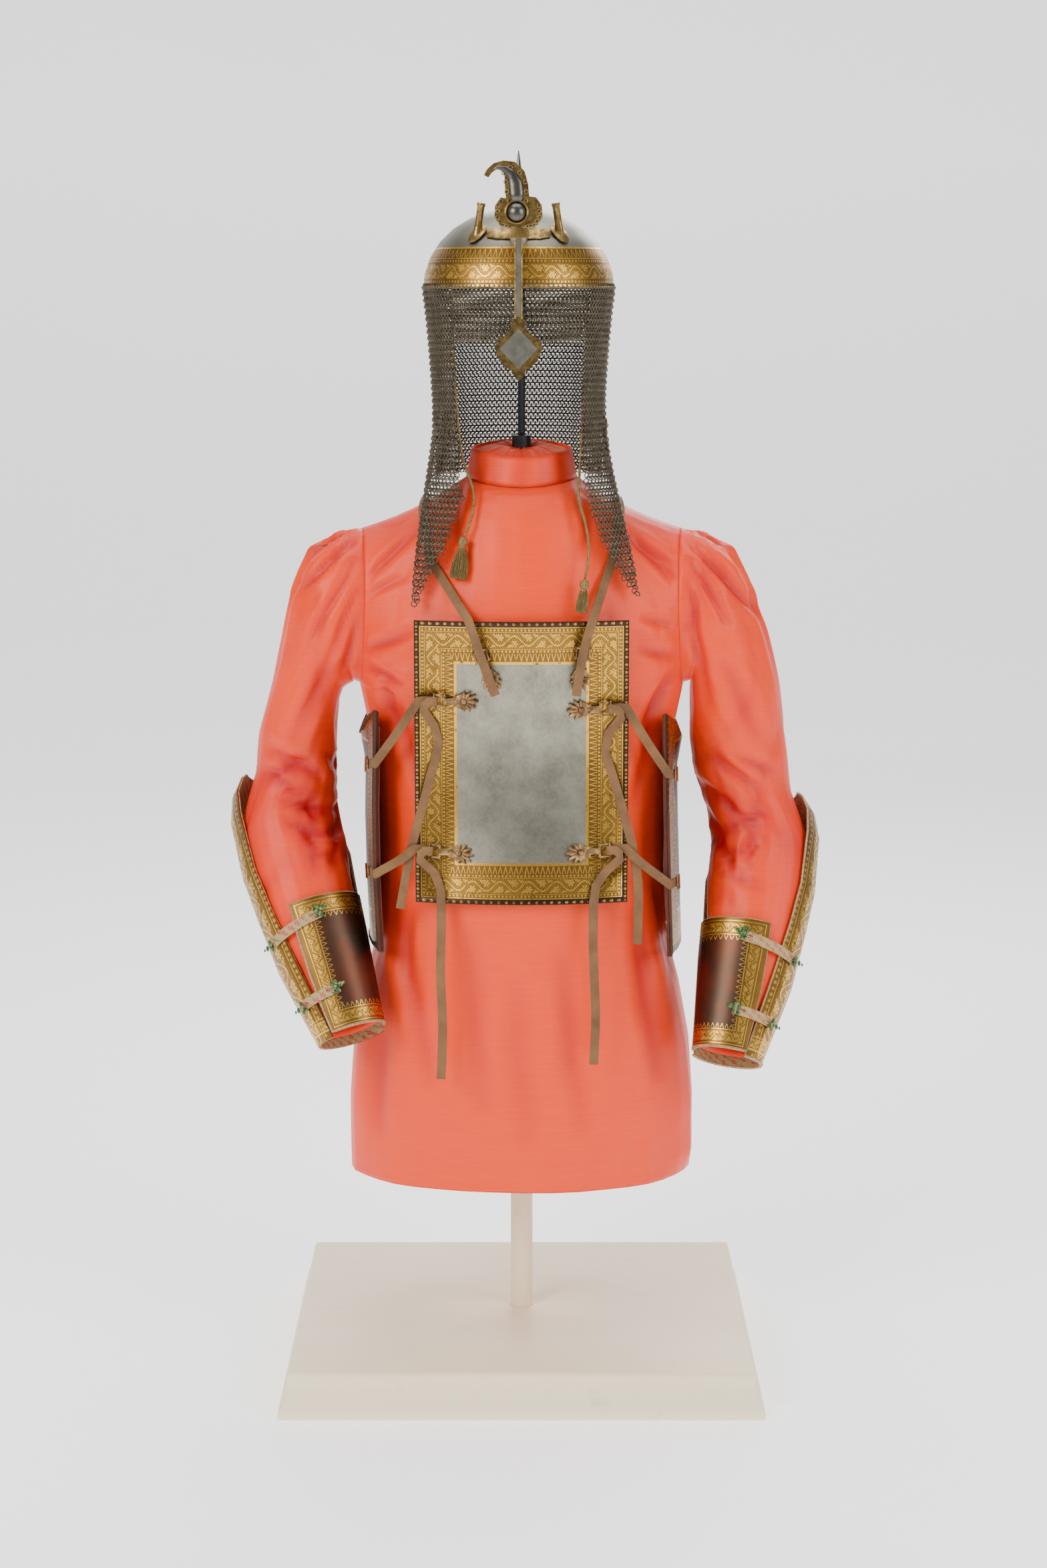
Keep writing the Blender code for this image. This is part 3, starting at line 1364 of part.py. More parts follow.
OUTER_GUARD_EDGES = (
    # share from elbow to wrist, front edge angle, back edge angle
    (-0.16, 76.0, 140.0),
    (-0.13, 58.0, 165.0),
    (-0.07, 49.0, 195.0),
    (0.03, 44.0, 225.0),
    (0.27, 41.0, 243.0),
    (0.45, 37.0, 247.0),
    (0.70, 29.0, 248.0),
    (1.04, 24.0, 248.0),
)
INNER_GUARD_EDGES = (
    # share from elbow to wrist, front edge angle, back edge angle
    (0.48, 11.0, -108.0),
    (0.62, 13.5, -108.0),
    (0.76, 16.0, -108.0),
    (0.90, 18.5, -108.0),
    (1.02, 20.0, -108.0),
)
GUARD_STRAPS = (("upper", 0.60, 0.55, 56.0, -18.0), ("lower", 0.88, 0.86, 52.0, -14.0))
GUARD_STRAP_WIDTH = 11.0
GUARD_STRAP = 1.2


def guard_grid(side, edges, columns, inset):
    """A grid on an arm guard between its front and back edges."""
    grid = []
    for share, front, back in reversed(edges):
        angles = [math.radians(front + (back - front) * step / columns) for step in range(columns + 1)]
        grid.append([guard_point(side, share, angle, inset) for angle in angles])
    return grid


def build_guards(steel, brocade, side, side_name):
    """One arm guard: the long outer plate with its lining, the inner plate and two straps."""
    lining = GUARD + TOUCH
    pieces = (
        ("guard_outer_" + side_name, OUTER_GUARD_EDGES, 12, 0.0, GUARD, steel),
        ("guard_lining_" + side_name, OUTER_GUARD_EDGES, 12, lining, lining + GUARD_LINING, brocade),
        ("guard_inner_" + side_name, INNER_GUARD_EDGES, 8, 0.0, GUARD, steel),
    )
    for name, edges, columns, near, far, finish in pieces:
        outside = guard_grid(side, edges, columns, near)
        inside = guard_grid(side, edges, columns, far)
        build_wall(name, outside, inside, finish)
    for level, start_share, end_share, start, end in GUARD_STRAPS:
        steps = 9
        path, facings = [], []
        for step in range(steps + 1):
            part = step / steps
            angle = math.radians(start + (end - start) * part)
            share = start_share + (end_share - start_share) * part
            point = guard_point(side, share, angle)
            around = guard_point(side, share, angle + 0.05) - guard_point(side, share, angle - 0.05)
            down = guard_point(side, share + 0.03, angle) - guard_point(side, share - 0.03, angle)
            normal = around.cross(down).normalized()
            if normal.dot(point - guard_point(side, share, angle, 20.0)) < 0.0:
                normal = -normal
            path.append(point + normal * (GUARD_STRAP / 2.0 + 1.6 * TOUCH))
            facings.append(normal)
        build_ribbon("guard_strap_" + level + "_" + side_name, path, facings, brocade,
                     GUARD_STRAP_WIDTH, GUARD_STRAP)


def main():
    for piece in list(bpy.data.objects):
        bpy.data.objects.remove(piece, do_unlink=True)
    silk = build_finish("orange_silk", (0.90, 0.17, 0.07), 0.55)
    paint = build_finish("cream_paint", (0.85, 0.80, 0.70), 0.5)
    padding = build_finish("form_padding", (0.80, 0.76, 0.68), 0.9)
    black = build_finish("black_metal", (0.02, 0.02, 0.02), 0.4, 0.6)
    steel = build_finish("grey_steel", (0.30, 0.29, 0.27), 0.35, 1.0)
    gold = build_finish("gilt_steel", (0.55, 0.38, 0.13), 0.4, 1.0)
    mail = build_finish("mail_steel", (0.18, 0.16, 0.13), 0.5, 1.0)
    brass = build_finish("old_brass", (0.35, 0.24, 0.12), 0.45, 1.0)
    leather = build_finish("tan_leather", (0.40, 0.25, 0.13), 0.8)
    red_leather = build_finish("red_leather", (0.30, 0.04, 0.03), 0.7)
    brocade = build_finish("brocade", (0.62, 0.50, 0.33), 0.8)
    thread = build_finish("gold_thread", (0.42, 0.34, 0.14), 0.6)

    grids = tunic_grids()
    build_stand_base(paint)
    build_torso_form(padding)
    build_stand_metal(paint, black)
    build_tunic(grids, silk)
    build_collar(silk)
    build_collar_top(silk)
    build_bowl(steel)
    build_turned("helmet_spike", (HELMET_X, 0.0, RIM_Z + BOWL_HEIGHT + TOUCH), SPIKE_PROFILE, 8, steel)
    build_nasal(gold)
    build_bracket(gold)
    build_mail(mail)
    build_front_and_back_plates(steel)
    build_front_buckles(brass)
    build_side_straps(leather)
    build_shoulder_straps(leather)
    build_back_straps(leather)
    build_side_buckles(brass)
    for side, side_name in ((-1, "left"), (1, "right")):
        build_sleeve("sleeve_" + side_name, side, grids, silk)
        build_plume_holder("plume_holder_" + side_name, side, gold)
        build_cord("tie_cord_" + side_name, side, thread)
        build_tassel("tassel_" + side_name, side, thread)
        build_side_plate(side, "side_plate_" + side_name, steel, "side_lining_" + side_name, red_leather)
        build_guards(steel, brocade, side, side_name)


main()
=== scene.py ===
"""Looks for the suit of armour: shot silk, gold on steel, mail rings, straps and cords."""

import math

import bmesh
import bpy
from mathutils import Matrix, Vector, noise
from mathutils.bvhtree import BVHTree
from mathutils.kdtree import KDTree


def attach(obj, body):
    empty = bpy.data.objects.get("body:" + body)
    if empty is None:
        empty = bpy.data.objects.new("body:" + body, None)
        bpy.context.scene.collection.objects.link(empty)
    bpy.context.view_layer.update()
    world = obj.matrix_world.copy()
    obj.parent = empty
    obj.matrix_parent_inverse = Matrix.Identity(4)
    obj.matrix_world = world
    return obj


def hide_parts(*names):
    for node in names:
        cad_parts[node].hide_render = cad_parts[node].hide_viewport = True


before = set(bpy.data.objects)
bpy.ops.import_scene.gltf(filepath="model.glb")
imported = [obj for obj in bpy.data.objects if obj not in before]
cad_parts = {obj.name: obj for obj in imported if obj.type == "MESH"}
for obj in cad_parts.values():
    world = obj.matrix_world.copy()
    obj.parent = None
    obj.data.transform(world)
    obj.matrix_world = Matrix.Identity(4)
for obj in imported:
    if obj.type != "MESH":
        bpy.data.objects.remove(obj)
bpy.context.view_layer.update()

bl_info = {
    "name": "Suit of Armour Looks",
    "version": (1, 0, 0),
    "blender": (4, 5, 0),
    "location": "View3D > Sidebar > Armour",
    "description": "Dresses a suit of armour on its stand",
    "category": "Object",
}

MM = 0.001
SIDES = ((-1, "left"), (1, "right"))
HELMET_X = -3.0
RIM_Z = 1185.0
BOWL_RADIUS = 101.5
BOWL_HEIGHT = 83.0
NASAL_Y = -106.5
NASAL_LEAN = 0.12
PLATE_HALF = 112.5
PLATE_BOTTOM = 543.0
PLATE_TOP = 844.0
PLATE_Y = -127.0
PLATE_BOW = 16.0
SHOULDER = (172.0, 0.0, 915.0)
ARM_ENDS = {
    "left": ((-262.0, 18.0, 625.0), (-185.0, -105.0, 402.0)),
    "right": ((268.0, 18.0, 600.0), (223.0, -105.0, 378.0)),
}


# Settings

class ClothSettings(bpy.types.PropertyGroup):
    """Silk of the tunic, sleeves and collar."""

    colour: bpy.props.FloatVectorProperty(
        name="Silk", description="Colour where the silk faces the light", subtype="COLOR",
        default=(0.90, 0.050, 0.002))
    # Painted shade: the silk blends towards this crimson by the cloth meshes' fold values, in the creases and where the
    # cloth turns away. It stands for the silk's shot colour as well.
    shade: bpy.props.FloatVectorProperty(
        name="Shot colour and painted shade", description="Colour where the silk turns away", subtype="COLOR",
        default=(0.50, 0.003, 0.009))
    crease: bpy.props.FloatProperty(
        name="Crease depth", description="Share of the creases' full depth", subtype="FACTOR",
        default=1.5)


class MetalSettings(bpy.types.PropertyGroup):
    """Steel, gold and mail."""

    steel: bpy.props.FloatVectorProperty(
        name="Steel", description="Polished grey-brown steel", subtype="COLOR",
        default=(0.26, 0.245, 0.20))
    ground: bpy.props.FloatVectorProperty(
        name="Ornament ground", description="Browned steel behind the gold", subtype="COLOR",
        default=(0.16, 0.082, 0.019))
    gold: bpy.props.FloatVectorProperty(
        name="Gold", description="Worn gold overlay", subtype="COLOR",
        default=(0.80, 0.46, 0.075))
    ring_across: bpy.props.FloatProperty(
        name="Ring pitch", description="Distance between rings in a row", subtype="DISTANCE",
        default=0.0052)
    ring_down: bpy.props.FloatProperty(
        name="Row pitch", description="Distance between rows of rings", subtype="DISTANCE",
        default=0.0033)
    ring_wire: bpy.props.FloatProperty(
        name="Ring wire", description="Radius of a ring's wire", subtype="DISTANCE",
        default=0.00074)


class TrimSettings(bpy.types.PropertyGroup):
    """Straps, braid and cords."""

    suede: bpy.props.FloatVectorProperty(
        name="Suede", description="Tan suede of the straps", subtype="COLOR",
        default=(0.185, 0.088, 0.032))
    cord: bpy.props.FloatVectorProperty(
        name="Cord", description="Olive gold cord", subtype="COLOR", default=(0.26, 0.17, 0.045))
    cream: bpy.props.FloatVectorProperty(
        name="Brocade", description="Cream ground of the brocade", subtype="COLOR",
        default=(0.40, 0.285, 0.12))


class StageSettings(bpy.types.PropertyGroup):
    """Floor, lights and camera."""

    paper: bpy.props.FloatVectorProperty(
        name="Paper", description="Pale studio paper", subtype="COLOR", default=(0.93, 0.93, 0.93))
    lens: bpy.props.FloatProperty(
        name="Lens", description="Focal length on a 36 mm film", default=61.3)
    tilt: bpy.props.FloatProperty(
        name="Tilt", description="How far the camera looks down", subtype="ANGLE",
        default=math.radians(10.4))


# Nodes

class Sockets:
    """A material's node tree, with short ways to add the maths that a pattern needs."""

    def __init__(self, name, roughness=0.5, metallic=0.0):
        self.material = bpy.data.materials.new(name)
        self.material.use_nodes = True
        self.tree = self.material.node_tree
        self.shader = self.tree.nodes["Principled BSDF"]
        self.shader.inputs["Roughness"].default_value = roughness
        self.shader.inputs["Metallic"].default_value = metallic
        self.place = self.tree.nodes.new("ShaderNodeTexCoord").outputs["Object"]

    def feed(self, socket, value):
        if isinstance(value, bpy.types.NodeSocket):
            self.tree.links.new(value, socket)
        elif value is not None:
            if socket.type == "RGBA" and len(value) == 3:
                value = (*value, 1.0)
            socket.default_value = value

    def maths(self, operation, first, second=None, third=None):
        node = self.tree.nodes.new("ShaderNodeMath")
        node.operation = operation
        for socket, value in zip(node.inputs, (first, second, third)):
            self.feed(socket, value)
        return node.outputs[0]

    def along(self, direction, place=None):
        node = self.tree.nodes.new("ShaderNodeVectorMath")
        node.operation = "DOT_PRODUCT"
        self.feed(node.inputs[0], place or self.place)
        node.inputs[1].default_value = direction
        return node.outputs["Value"]

    def axes(self, place=None):
        node = self.tree.nodes.new("ShaderNodeSeparateXYZ")
        self.feed(node.inputs[0], place or self.place)
        return node.outputs

    def join(self, x, y, z=0.0):
        node = self.tree.nodes.new("ShaderNodeCombineXYZ")
        for socket, value in zip(node.inputs, (x, y, z)):
            self.feed(socket, value)
        return node.outputs[0]

    def stretch(self, scale, place=None):
        node = self.tree.nodes.new("ShaderNodeMapping")
        self.feed(node.inputs["Vector"], place or self.place)
        node.inputs["Scale"].default_value = scale
        return node.outputs[0]

    def grain(self, scale, detail=2.0, place=None, rough=0.5):
        node = self.tree.nodes.new("ShaderNodeTexNoise")
        self.feed(node.inputs["Vector"], place or self.place)
        node.inputs["Scale"].default_value = scale
        node.inputs["Detail"].default_value = detail
        node.inputs["Roughness"].default_value = rough
        return node.outputs["Fac"]

    def range(self, value, low, high, to_low=0.0, to_high=1.0):
        node = self.tree.nodes.new("ShaderNodeMapRange")
        for socket, number in zip(node.inputs, (value, low, high, to_low, to_high)):
            self.feed(socket, number)
        return node.outputs[0]

    def blend(self, share, first, second):
        node = self.tree.nodes.new("ShaderNodeMix")
        node.data_type = "RGBA"
        self.feed(node.inputs["Factor"], share)
        self.feed(node.inputs[6], first)
        self.feed(node.inputs[7], second)
        return node.outputs[2]

    def inside(self, value, middle, half):
        """1 where a value lies within half of the middle."""
        return self.maths("COMPARE", value, middle, half)

    def any_of(self, *masks):
        total = masks[0]
        for mask in masks[1:]:
            total = self.maths("MAXIMUM", total, mask)
        return total

    def colour(self, value):
        self.feed(self.shader.inputs["Base Color"], value)

    def rough(self, value):
        self.feed(self.shader.inputs["Roughness"], value)

    def bump(self, height, depth, distance=0.001):
        node = self.tree.nodes.new("ShaderNodeBump")
        node.inputs["Strength"].default_value = depth
        node.inputs["Distance"].default_value = distance
        self.feed(node.inputs["Height"], height)
        self.feed(self.shader.inputs["Normal"], node.outputs[0])


# Traditional ornament in gold, drawn from a pattern's length u and height v in millimetres

def flower(nodes, u, v, radius, petals):
    """A flower with a ring of petals and a dot, centred on 0, 0."""
    squared = nodes.maths("MULTIPLY_ADD", u, u, nodes.maths("MULTIPLY", v, v))
    distance = nodes.maths("SQRT", squared)
    turn = nodes.maths("ARCTAN2", v, u)
    wave = nodes.maths("COSINE", nodes.maths("MULTIPLY", turn, float(petals)))
    edge = nodes.maths("MULTIPLY_ADD", wave, 0.22 * radius, 0.74 * radius)
    petal = nodes.maths("LESS_THAN", distance, edge)
    gap = nodes.inside(distance, 0.36 * radius, 0.07 * radius)
    return nodes.maths("SUBTRACT", petal, gap)


def scroll(nodes, u, v, pitch, height):
    """A wavy vine with a flower in each bend, leaves beside it and small tendrils."""
    turn = nodes.maths("MULTIPLY", u, 2.0 * math.pi / pitch)
    wave = nodes.maths("MULTIPLY", nodes.maths("SINE", turn), 0.30 * height)
    vine = nodes.inside(nodes.maths("SUBTRACT", v, wave), 0.0, 0.045 * height)
    masks = [vine]
    for shift, side in ((0.25, -1.0), (0.75, 1.0)):
        local = nodes.maths("WRAP", nodes.maths("ADD", u, -shift * pitch), pitch / 2.0, -pitch / 2.0)
        lifted = nodes.maths("ADD", v, -side * 0.20 * height)
        masks.append(flower(nodes, local, lifted, 0.25 * height, 6))
    for shift, side in ((0.0, 1.0), (0.5, -1.0), (0.09, -1.0), (0.59, 1.0)):
        local = nodes.maths("WRAP", nodes.maths("ADD", u, -shift * pitch), pitch / 2.0, -pitch / 2.0)
        lifted = nodes.maths("ADD", v, -side * 0.33 * height)
        slant = nodes.maths("MULTIPLY_ADD", lifted, 0.7 * side, local)
        masks.append(flower(nodes, nodes.maths("MULTIPLY", slant, 0.7), lifted, 0.12 * height, 3))
    curl = nodes.maths("MULTIPLY", nodes.maths("SINE", nodes.maths("MULTIPLY", v, 1.5)), 1.3)
    tendril = nodes.maths("SINE", nodes.maths("MULTIPLY_ADD", u, 1.25, curl))
    fill = nodes.inside(tendril, 0.0, 0.34)
    within = nodes.inside(v, 0.0, 0.47 * height)
    return nodes.maths("MULTIPLY", nodes.any_of(*masks, nodes.maths("MULTIPLY", fill, 0.75)), within)


def squares(nodes, u, v, pitch, half):
    """A row of small squares."""
    local = nodes.maths("WRAP", u, pitch / 2.0, -pitch / 2.0)
    return nodes.maths("MULTIPLY", nodes.inside(local, 0.0, half), nodes.inside(v, 0.0, half))


def petals(nodes, u, v, pitch, height):
    """A row of upright drops, each with a dark heart."""
    local = nodes.maths("WRAP", u, pitch / 2.0, -pitch / 2.0)
    taper = nodes.maths("MULTIPLY_ADD", v, -0.34 * pitch / height, 0.24 * pitch)
    drop = nodes.maths("LESS_THAN", nodes.maths("ABSOLUTE", local), taper)
    heart = nodes.maths("SUBTRACT", taper, 0.13 * pitch)
    inner = nodes.maths("LESS_THAN", nodes.maths("ABSOLUTE", local), heart)
    shape = nodes.maths("SUBTRACT", drop, inner)
    return nodes.maths("MULTIPLY", shape, nodes.inside(v, 0.0, height / 2.0))


def gold_on_steel(nodes, mask, plain_steel, ground_here, metals, rim=None):
    """Worn gold where the mask is 1, browned ground beside it, bare steel elsewhere, and a dark rim."""
    wear = nodes.range(nodes.grain(160.0, 5.0), 0.30, 0.42)
    gilt = nodes.maths("MULTIPLY", nodes.maths("MINIMUM", nodes.maths("MAXIMUM", mask, 0.0), 1.0), wear)
    tone = nodes.grain(45.0, 4.0)
    deep, pale = (tuple(share * c for c in metals.ground) for share in (0.7, 1.7))
    ground = nodes.blend(tone, deep, pale)
    gold = nodes.blend(nodes.grain(700.0, 2.0), tuple(0.7 * c for c in metals.gold), metals.gold[:])
    if rim is not None:
        ground = nodes.blend(rim, ground, (0.055, 0.03, 0.02))
    under = nodes.blend(ground_here, plain_steel, ground)
    nodes.colour(nodes.blend(gilt, under, gold))
    nodes.shader.inputs["Metallic"].default_value = 1.0
    nodes.rough(nodes.range(gilt, 0.0, 1.0, 0.42, 0.34))
    nodes.bump(gilt, 0.30, 0.0005)


def steel_tone(nodes, metals, mottle=0.5):
    """Polished steel with cloudy mottling."""
    cloud = nodes.grain(55.0, 9.0, rough=0.68)
    dark = tuple((1.0 - mottle) * c for c in metals.steel)
    return nodes.blend(nodes.range(cloud, 0.35, 0.66), dark, metals.steel[:])


# Finishes

def silk_finish(cloth):
    """Shot silk: a fine weave with slubs, redder where the mesh's fold values paint shade into the creases and where
    the cloth turns away.
    """
    nodes = Sockets("shot silk with painted shade", 0.44)
    # The fold attribute is painted shade: it blends the silk towards the crimson shade colour.
    fold = nodes.tree.nodes.new("ShaderNodeAttribute")
    fold.attribute_name = "fold"
    streak = nodes.grain(5.0, 4.0, nodes.stretch((1.0, 1.0, 0.5)), 0.55)
    # Painted shade from the fold values, with broad random streaks added.
    share = nodes.maths("MULTIPLY_ADD", nodes.range(streak, 0.45, 0.75), 0.16, fold.outputs["Fac"])
    base = nodes.blend(nodes.range(share, 0.02, 1.0), cloth.colour[:], cloth.shade[:])
    slub = nodes.grain(60.0, 3.0, nodes.stretch((0.5, 0.5, 22.0)), 0.6)
    thread = nodes.range(slub, 0.35, 0.70, 0.94, 1.04)
    tinted = nodes.tree.nodes.new("ShaderNodeHueSaturation")
    nodes.feed(tinted.inputs["Color"], base)
    nodes.feed(tinted.inputs["Value"], thread)
    nodes.colour(tinted.outputs[0])
    weave = nodes.grain(1500.0, 2.0, nodes.stretch((1.0, 1.0, 2.2)))
    crumple = nodes.grain(26.0, 5.0, nodes.stretch((1.0, 1.0, 0.6)), 0.55)
    x, y, z = nodes.axes()
    curved = nodes.maths("MULTIPLY_ADD", nodes.maths("MULTIPLY", x, x), -0.4, z)
    hem = nodes.inside(curved, 0.288, 0.0009)
    rows = nodes.maths("MULTIPLY_ADD", weave, 0.12, nodes.maths("MULTIPLY_ADD", slub, 0.35, crumple))
    nodes.bump(nodes.maths("MULTIPLY_ADD", hem, -0.6, rows), 0.30, 0.0016)
    nodes.shader.inputs["Sheen Weight"].default_value = 0.08
    nodes.shader.inputs["Sheen Roughness"].default_value = 0.4
    nodes.shader.inputs["Sheen Tint"].default_value = (1.0, 0.25, 0.08, 1.0)
    nodes.shader.inputs["Specular IOR Level"].default_value = 0.32
    return nodes.material


def steel_finish(metals, name="polished steel", mottle=0.55, roughness=0.30, tint=(0.55, 0.55, 0.55)):
    """Plain polished steel with cloudy mottling, fine scratches and small stains."""
    nodes = Sockets(name, roughness, 1.0)
    cloud = nodes.grain(60.0, 8.0, rough=0.66)
    light = tuple(c * t for c, t in zip(metals.steel, tint))
    dark = tuple((1.0 - mottle) * c for c in light)
    scratch = nodes.grain(60.0, 3.0, nodes.stretch((1.0, 1.0, 14.0)))
    nodes.colour(nodes.blend(nodes.range(cloud, 0.34, 0.66), dark, light))
    gloss = nodes.range(cloud, 0.3, 0.7, roughness, roughness - 0.06)
    nodes.rough(nodes.maths("MULTIPLY_ADD", scratch, 0.16, gloss))
    nodes.bump(scratch, 0.05, 0.0004)
    return nodes.material


def gilt_finish(metals, name="gilt", light=0.66, dark=0.22):
    """Worn gold over browned metal."""
    nodes = Sockets(name, 0.34, 1.0)
    worn = nodes.range(nodes.grain(130.0, 6.0, rough=0.65), 0.38, 0.60)
    bright, brown = (tuple(share * (0.62 * gold + 0.38 * grey) for gold, grey in zip(metals.gold, metals.steel))
                     for share in (light, dark))
    nodes.colour(nodes.blend(worn, bright, brown))
    nodes.rough(nodes.range(worn, 0.0, 1.0, 0.30, 0.48))
    nodes.bump(nodes.grain(420.0, 3.0), 0.18, 0.0005)
    return nodes.material


def helmet_finish(metals):
    """The bowl: plain steel above, and a gold band of ornament round the rim."""
    nodes = Sockets("bowl with gold band", 0.3, 1.0)
    x, y, z = nodes.axes(nodes.stretch((1000.0, 1000.0, 1000.0)))
    turn = nodes.maths("ARCTAN2", nodes.maths("SUBTRACT", x, HELMET_X), nodes.maths("MULTIPLY", y, -1.0))
    u = nodes.maths("MULTIPLY", turn, BOWL_RADIUS)
    around = 2.0 * math.pi * BOWL_RADIUS
    masks = [
        nodes.inside(z, 1226.0, 0.9),
        petals(nodes, u, nodes.maths("SUBTRACT", z, 1220.5), around / 96.0, 8.0),
        nodes.inside(z, 1215.2, 0.4),
        squares(nodes, u, nodes.maths("SUBTRACT", z, 1212.6), around / 150.0, 1.0),
        scroll(nodes, u, nodes.maths("SUBTRACT", z, 1202.0), around / 22.0, 17.0),
        squares(nodes, u, nodes.maths("SUBTRACT", z, 1191.6), around / 150.0, 1.0),
        nodes.inside(z, 1186.8, 1.9),
    ]
    band = nodes.maths("LESS_THAN", z, 1226.9)
    crown = nodes.blend(nodes.grain(14.0, 6.0), (0.105, 0.097, 0.070), (0.28, 0.265, 0.205))
    gold_on_steel(nodes, nodes.any_of(*masks), crown, band, metals)
    return nodes.material


def plate_finish(metals, name, axis, middle, half_width, bottom, top, width, tint=(1.0, 1.0, 1.0)):
    """A plate framed by a dark dotted rim, squares, a scroll of flowers, petals and a gold line."""
    nodes = Sockets(name, 0.3, 1.0)
    place = nodes.axes(nodes.stretch((1000.0, 1000.0, 1000.0)))
    across = nodes.maths("SUBTRACT", place[axis], middle)
    up = nodes.maths("SUBTRACT", place[2], (bottom + top) / 2.0)
    from_side = nodes.maths("SUBTRACT", half_width, nodes.maths("ABSOLUTE", across))
    from_end = nodes.maths("SUBTRACT", (top - bottom) / 2.0, nodes.maths("ABSOLUTE", up))
    deep = nodes.maths("MINIMUM", from_side, from_end)
    on_side = nodes.maths("LESS_THAN", from_side, from_end)
    gap = nodes.maths("SUBTRACT", up, across)
    u = nodes.maths("MULTIPLY_ADD", on_side, gap, across)
    dots = flower(nodes, nodes.maths("WRAP", u, 4.0, -4.0), nodes.maths("SUBTRACT", deep, 2.5), 1.7, 5)
    inner = 11.5 + width
    masks = [
        dots,
        nodes.inside(deep, 6.3, 0.5),
        squares(nodes, u, nodes.maths("SUBTRACT", deep, 8.8), 4.0, 1.0),
        nodes.inside(deep, 10.9, 0.3),
        scroll(nodes, u, nodes.maths("SUBTRACT", deep, 11.3 + width / 2.0), 1.75 * width, width),
        nodes.inside(deep, inner + 0.2, 0.3),
        squares(nodes, u, nodes.maths("SUBTRACT", deep, inner + 2.4), 4.0, 1.0),
        petals(nodes, u, nodes.maths("SUBTRACT", deep, inner + 8.6), 5.6, 8.0),
        nodes.inside(deep, inner + 14.8, 1.5),
    ]
    framed = nodes.maths("LESS_THAN", deep, inner + 16.4)
    light = tuple(c * t for c, t in zip(metals.steel, tint))
    cloud = nodes.maths("MULTIPLY_ADD", nodes.grain(300.0, 4.0), 0.25, nodes.grain(24.0, 10.0, rough=0.7))
    centre = nodes.blend(nodes.range(cloud, 0.44, 0.80), tuple(0.52 * c for c in light), light)
    gold_on_steel(nodes, nodes.any_of(*masks), centre, framed, metals, nodes.maths("LESS_THAN", deep, 5.6))
    return nodes.material


def arm_places(nodes, side_name):
    """Distance down the forearm and angle round it, for a pattern on an arm guard."""
    start, end = (Vector(point) * MM for point in ARM_ENDS[side_name])
    along = (end - start).normalized()
    front = Vector((0.0, -1.0, 0.0))
    front = (front - along * front.dot(along)).normalized()
    outward = along.cross(front)
    if outward.x * start.x < 0.0:
        outward = -outward
    down = nodes.maths("SUBTRACT", nodes.along(along), start.dot(along))
    ahead = nodes.maths("SUBTRACT", nodes.along(front), start.dot(front))
    out = nodes.maths("SUBTRACT", nodes.along(outward), start.dot(outward) + 0.004)
    turn = nodes.maths("ARCTAN2", out, ahead)
    down_mm = nodes.maths("MULTIPLY", down, 1000.0)
    return down_mm, turn, (end - start).length * 1000.0


def guard_finish(metals, side_name):
    """The outer guard: mottled steel with a wide gold scroll beside its front edge."""
    nodes = Sockets("arm guard steel " + side_name, 0.28, 1.0)
    down, turn, length = arm_places(nodes, side_name)
    radius = nodes.maths("MULTIPLY_ADD", down, -22.0 / length, 62.0)
    edge = nodes.maths("MULTIPLY_ADD", down, -0.35 / length, 0.77)
    deep = nodes.maths("MULTIPLY", nodes.maths("SUBTRACT", turn, edge), radius)
    far = nodes.maths("SUBTRACT", length * 1.03, down)
    masks = [
        flower(nodes, nodes.maths("WRAP", down, 3.4, -3.4), nodes.maths("SUBTRACT", deep, 7.5), 2.5, 5),
        nodes.inside(deep, 11.5, 0.5),
        scroll(nodes, down, nodes.maths("SUBTRACT", deep, 28.0), 40.0, 28.0),
        nodes.inside(deep, 44.5, 0.5),
        petals(nodes, down, nodes.maths("SUBTRACT", deep, 49.0), 6.4, 6.0),
        nodes.inside(far, 6.0, 1.0),
        nodes.inside(far, 20.0, 0.5),
        scroll(nodes, nodes.maths("MULTIPLY", turn, 40.0), nodes.maths("SUBTRACT", far, 13.0), 16.0, 11.0),
    ]
    framed = nodes.any_of(nodes.maths("LESS_THAN", deep, 53.0), nodes.maths("LESS_THAN", far, 21.0))
    gold_on_steel(nodes, nodes.any_of(*masks), steel_tone(nodes, metals, 0.45), framed, metals)
    return nodes.material


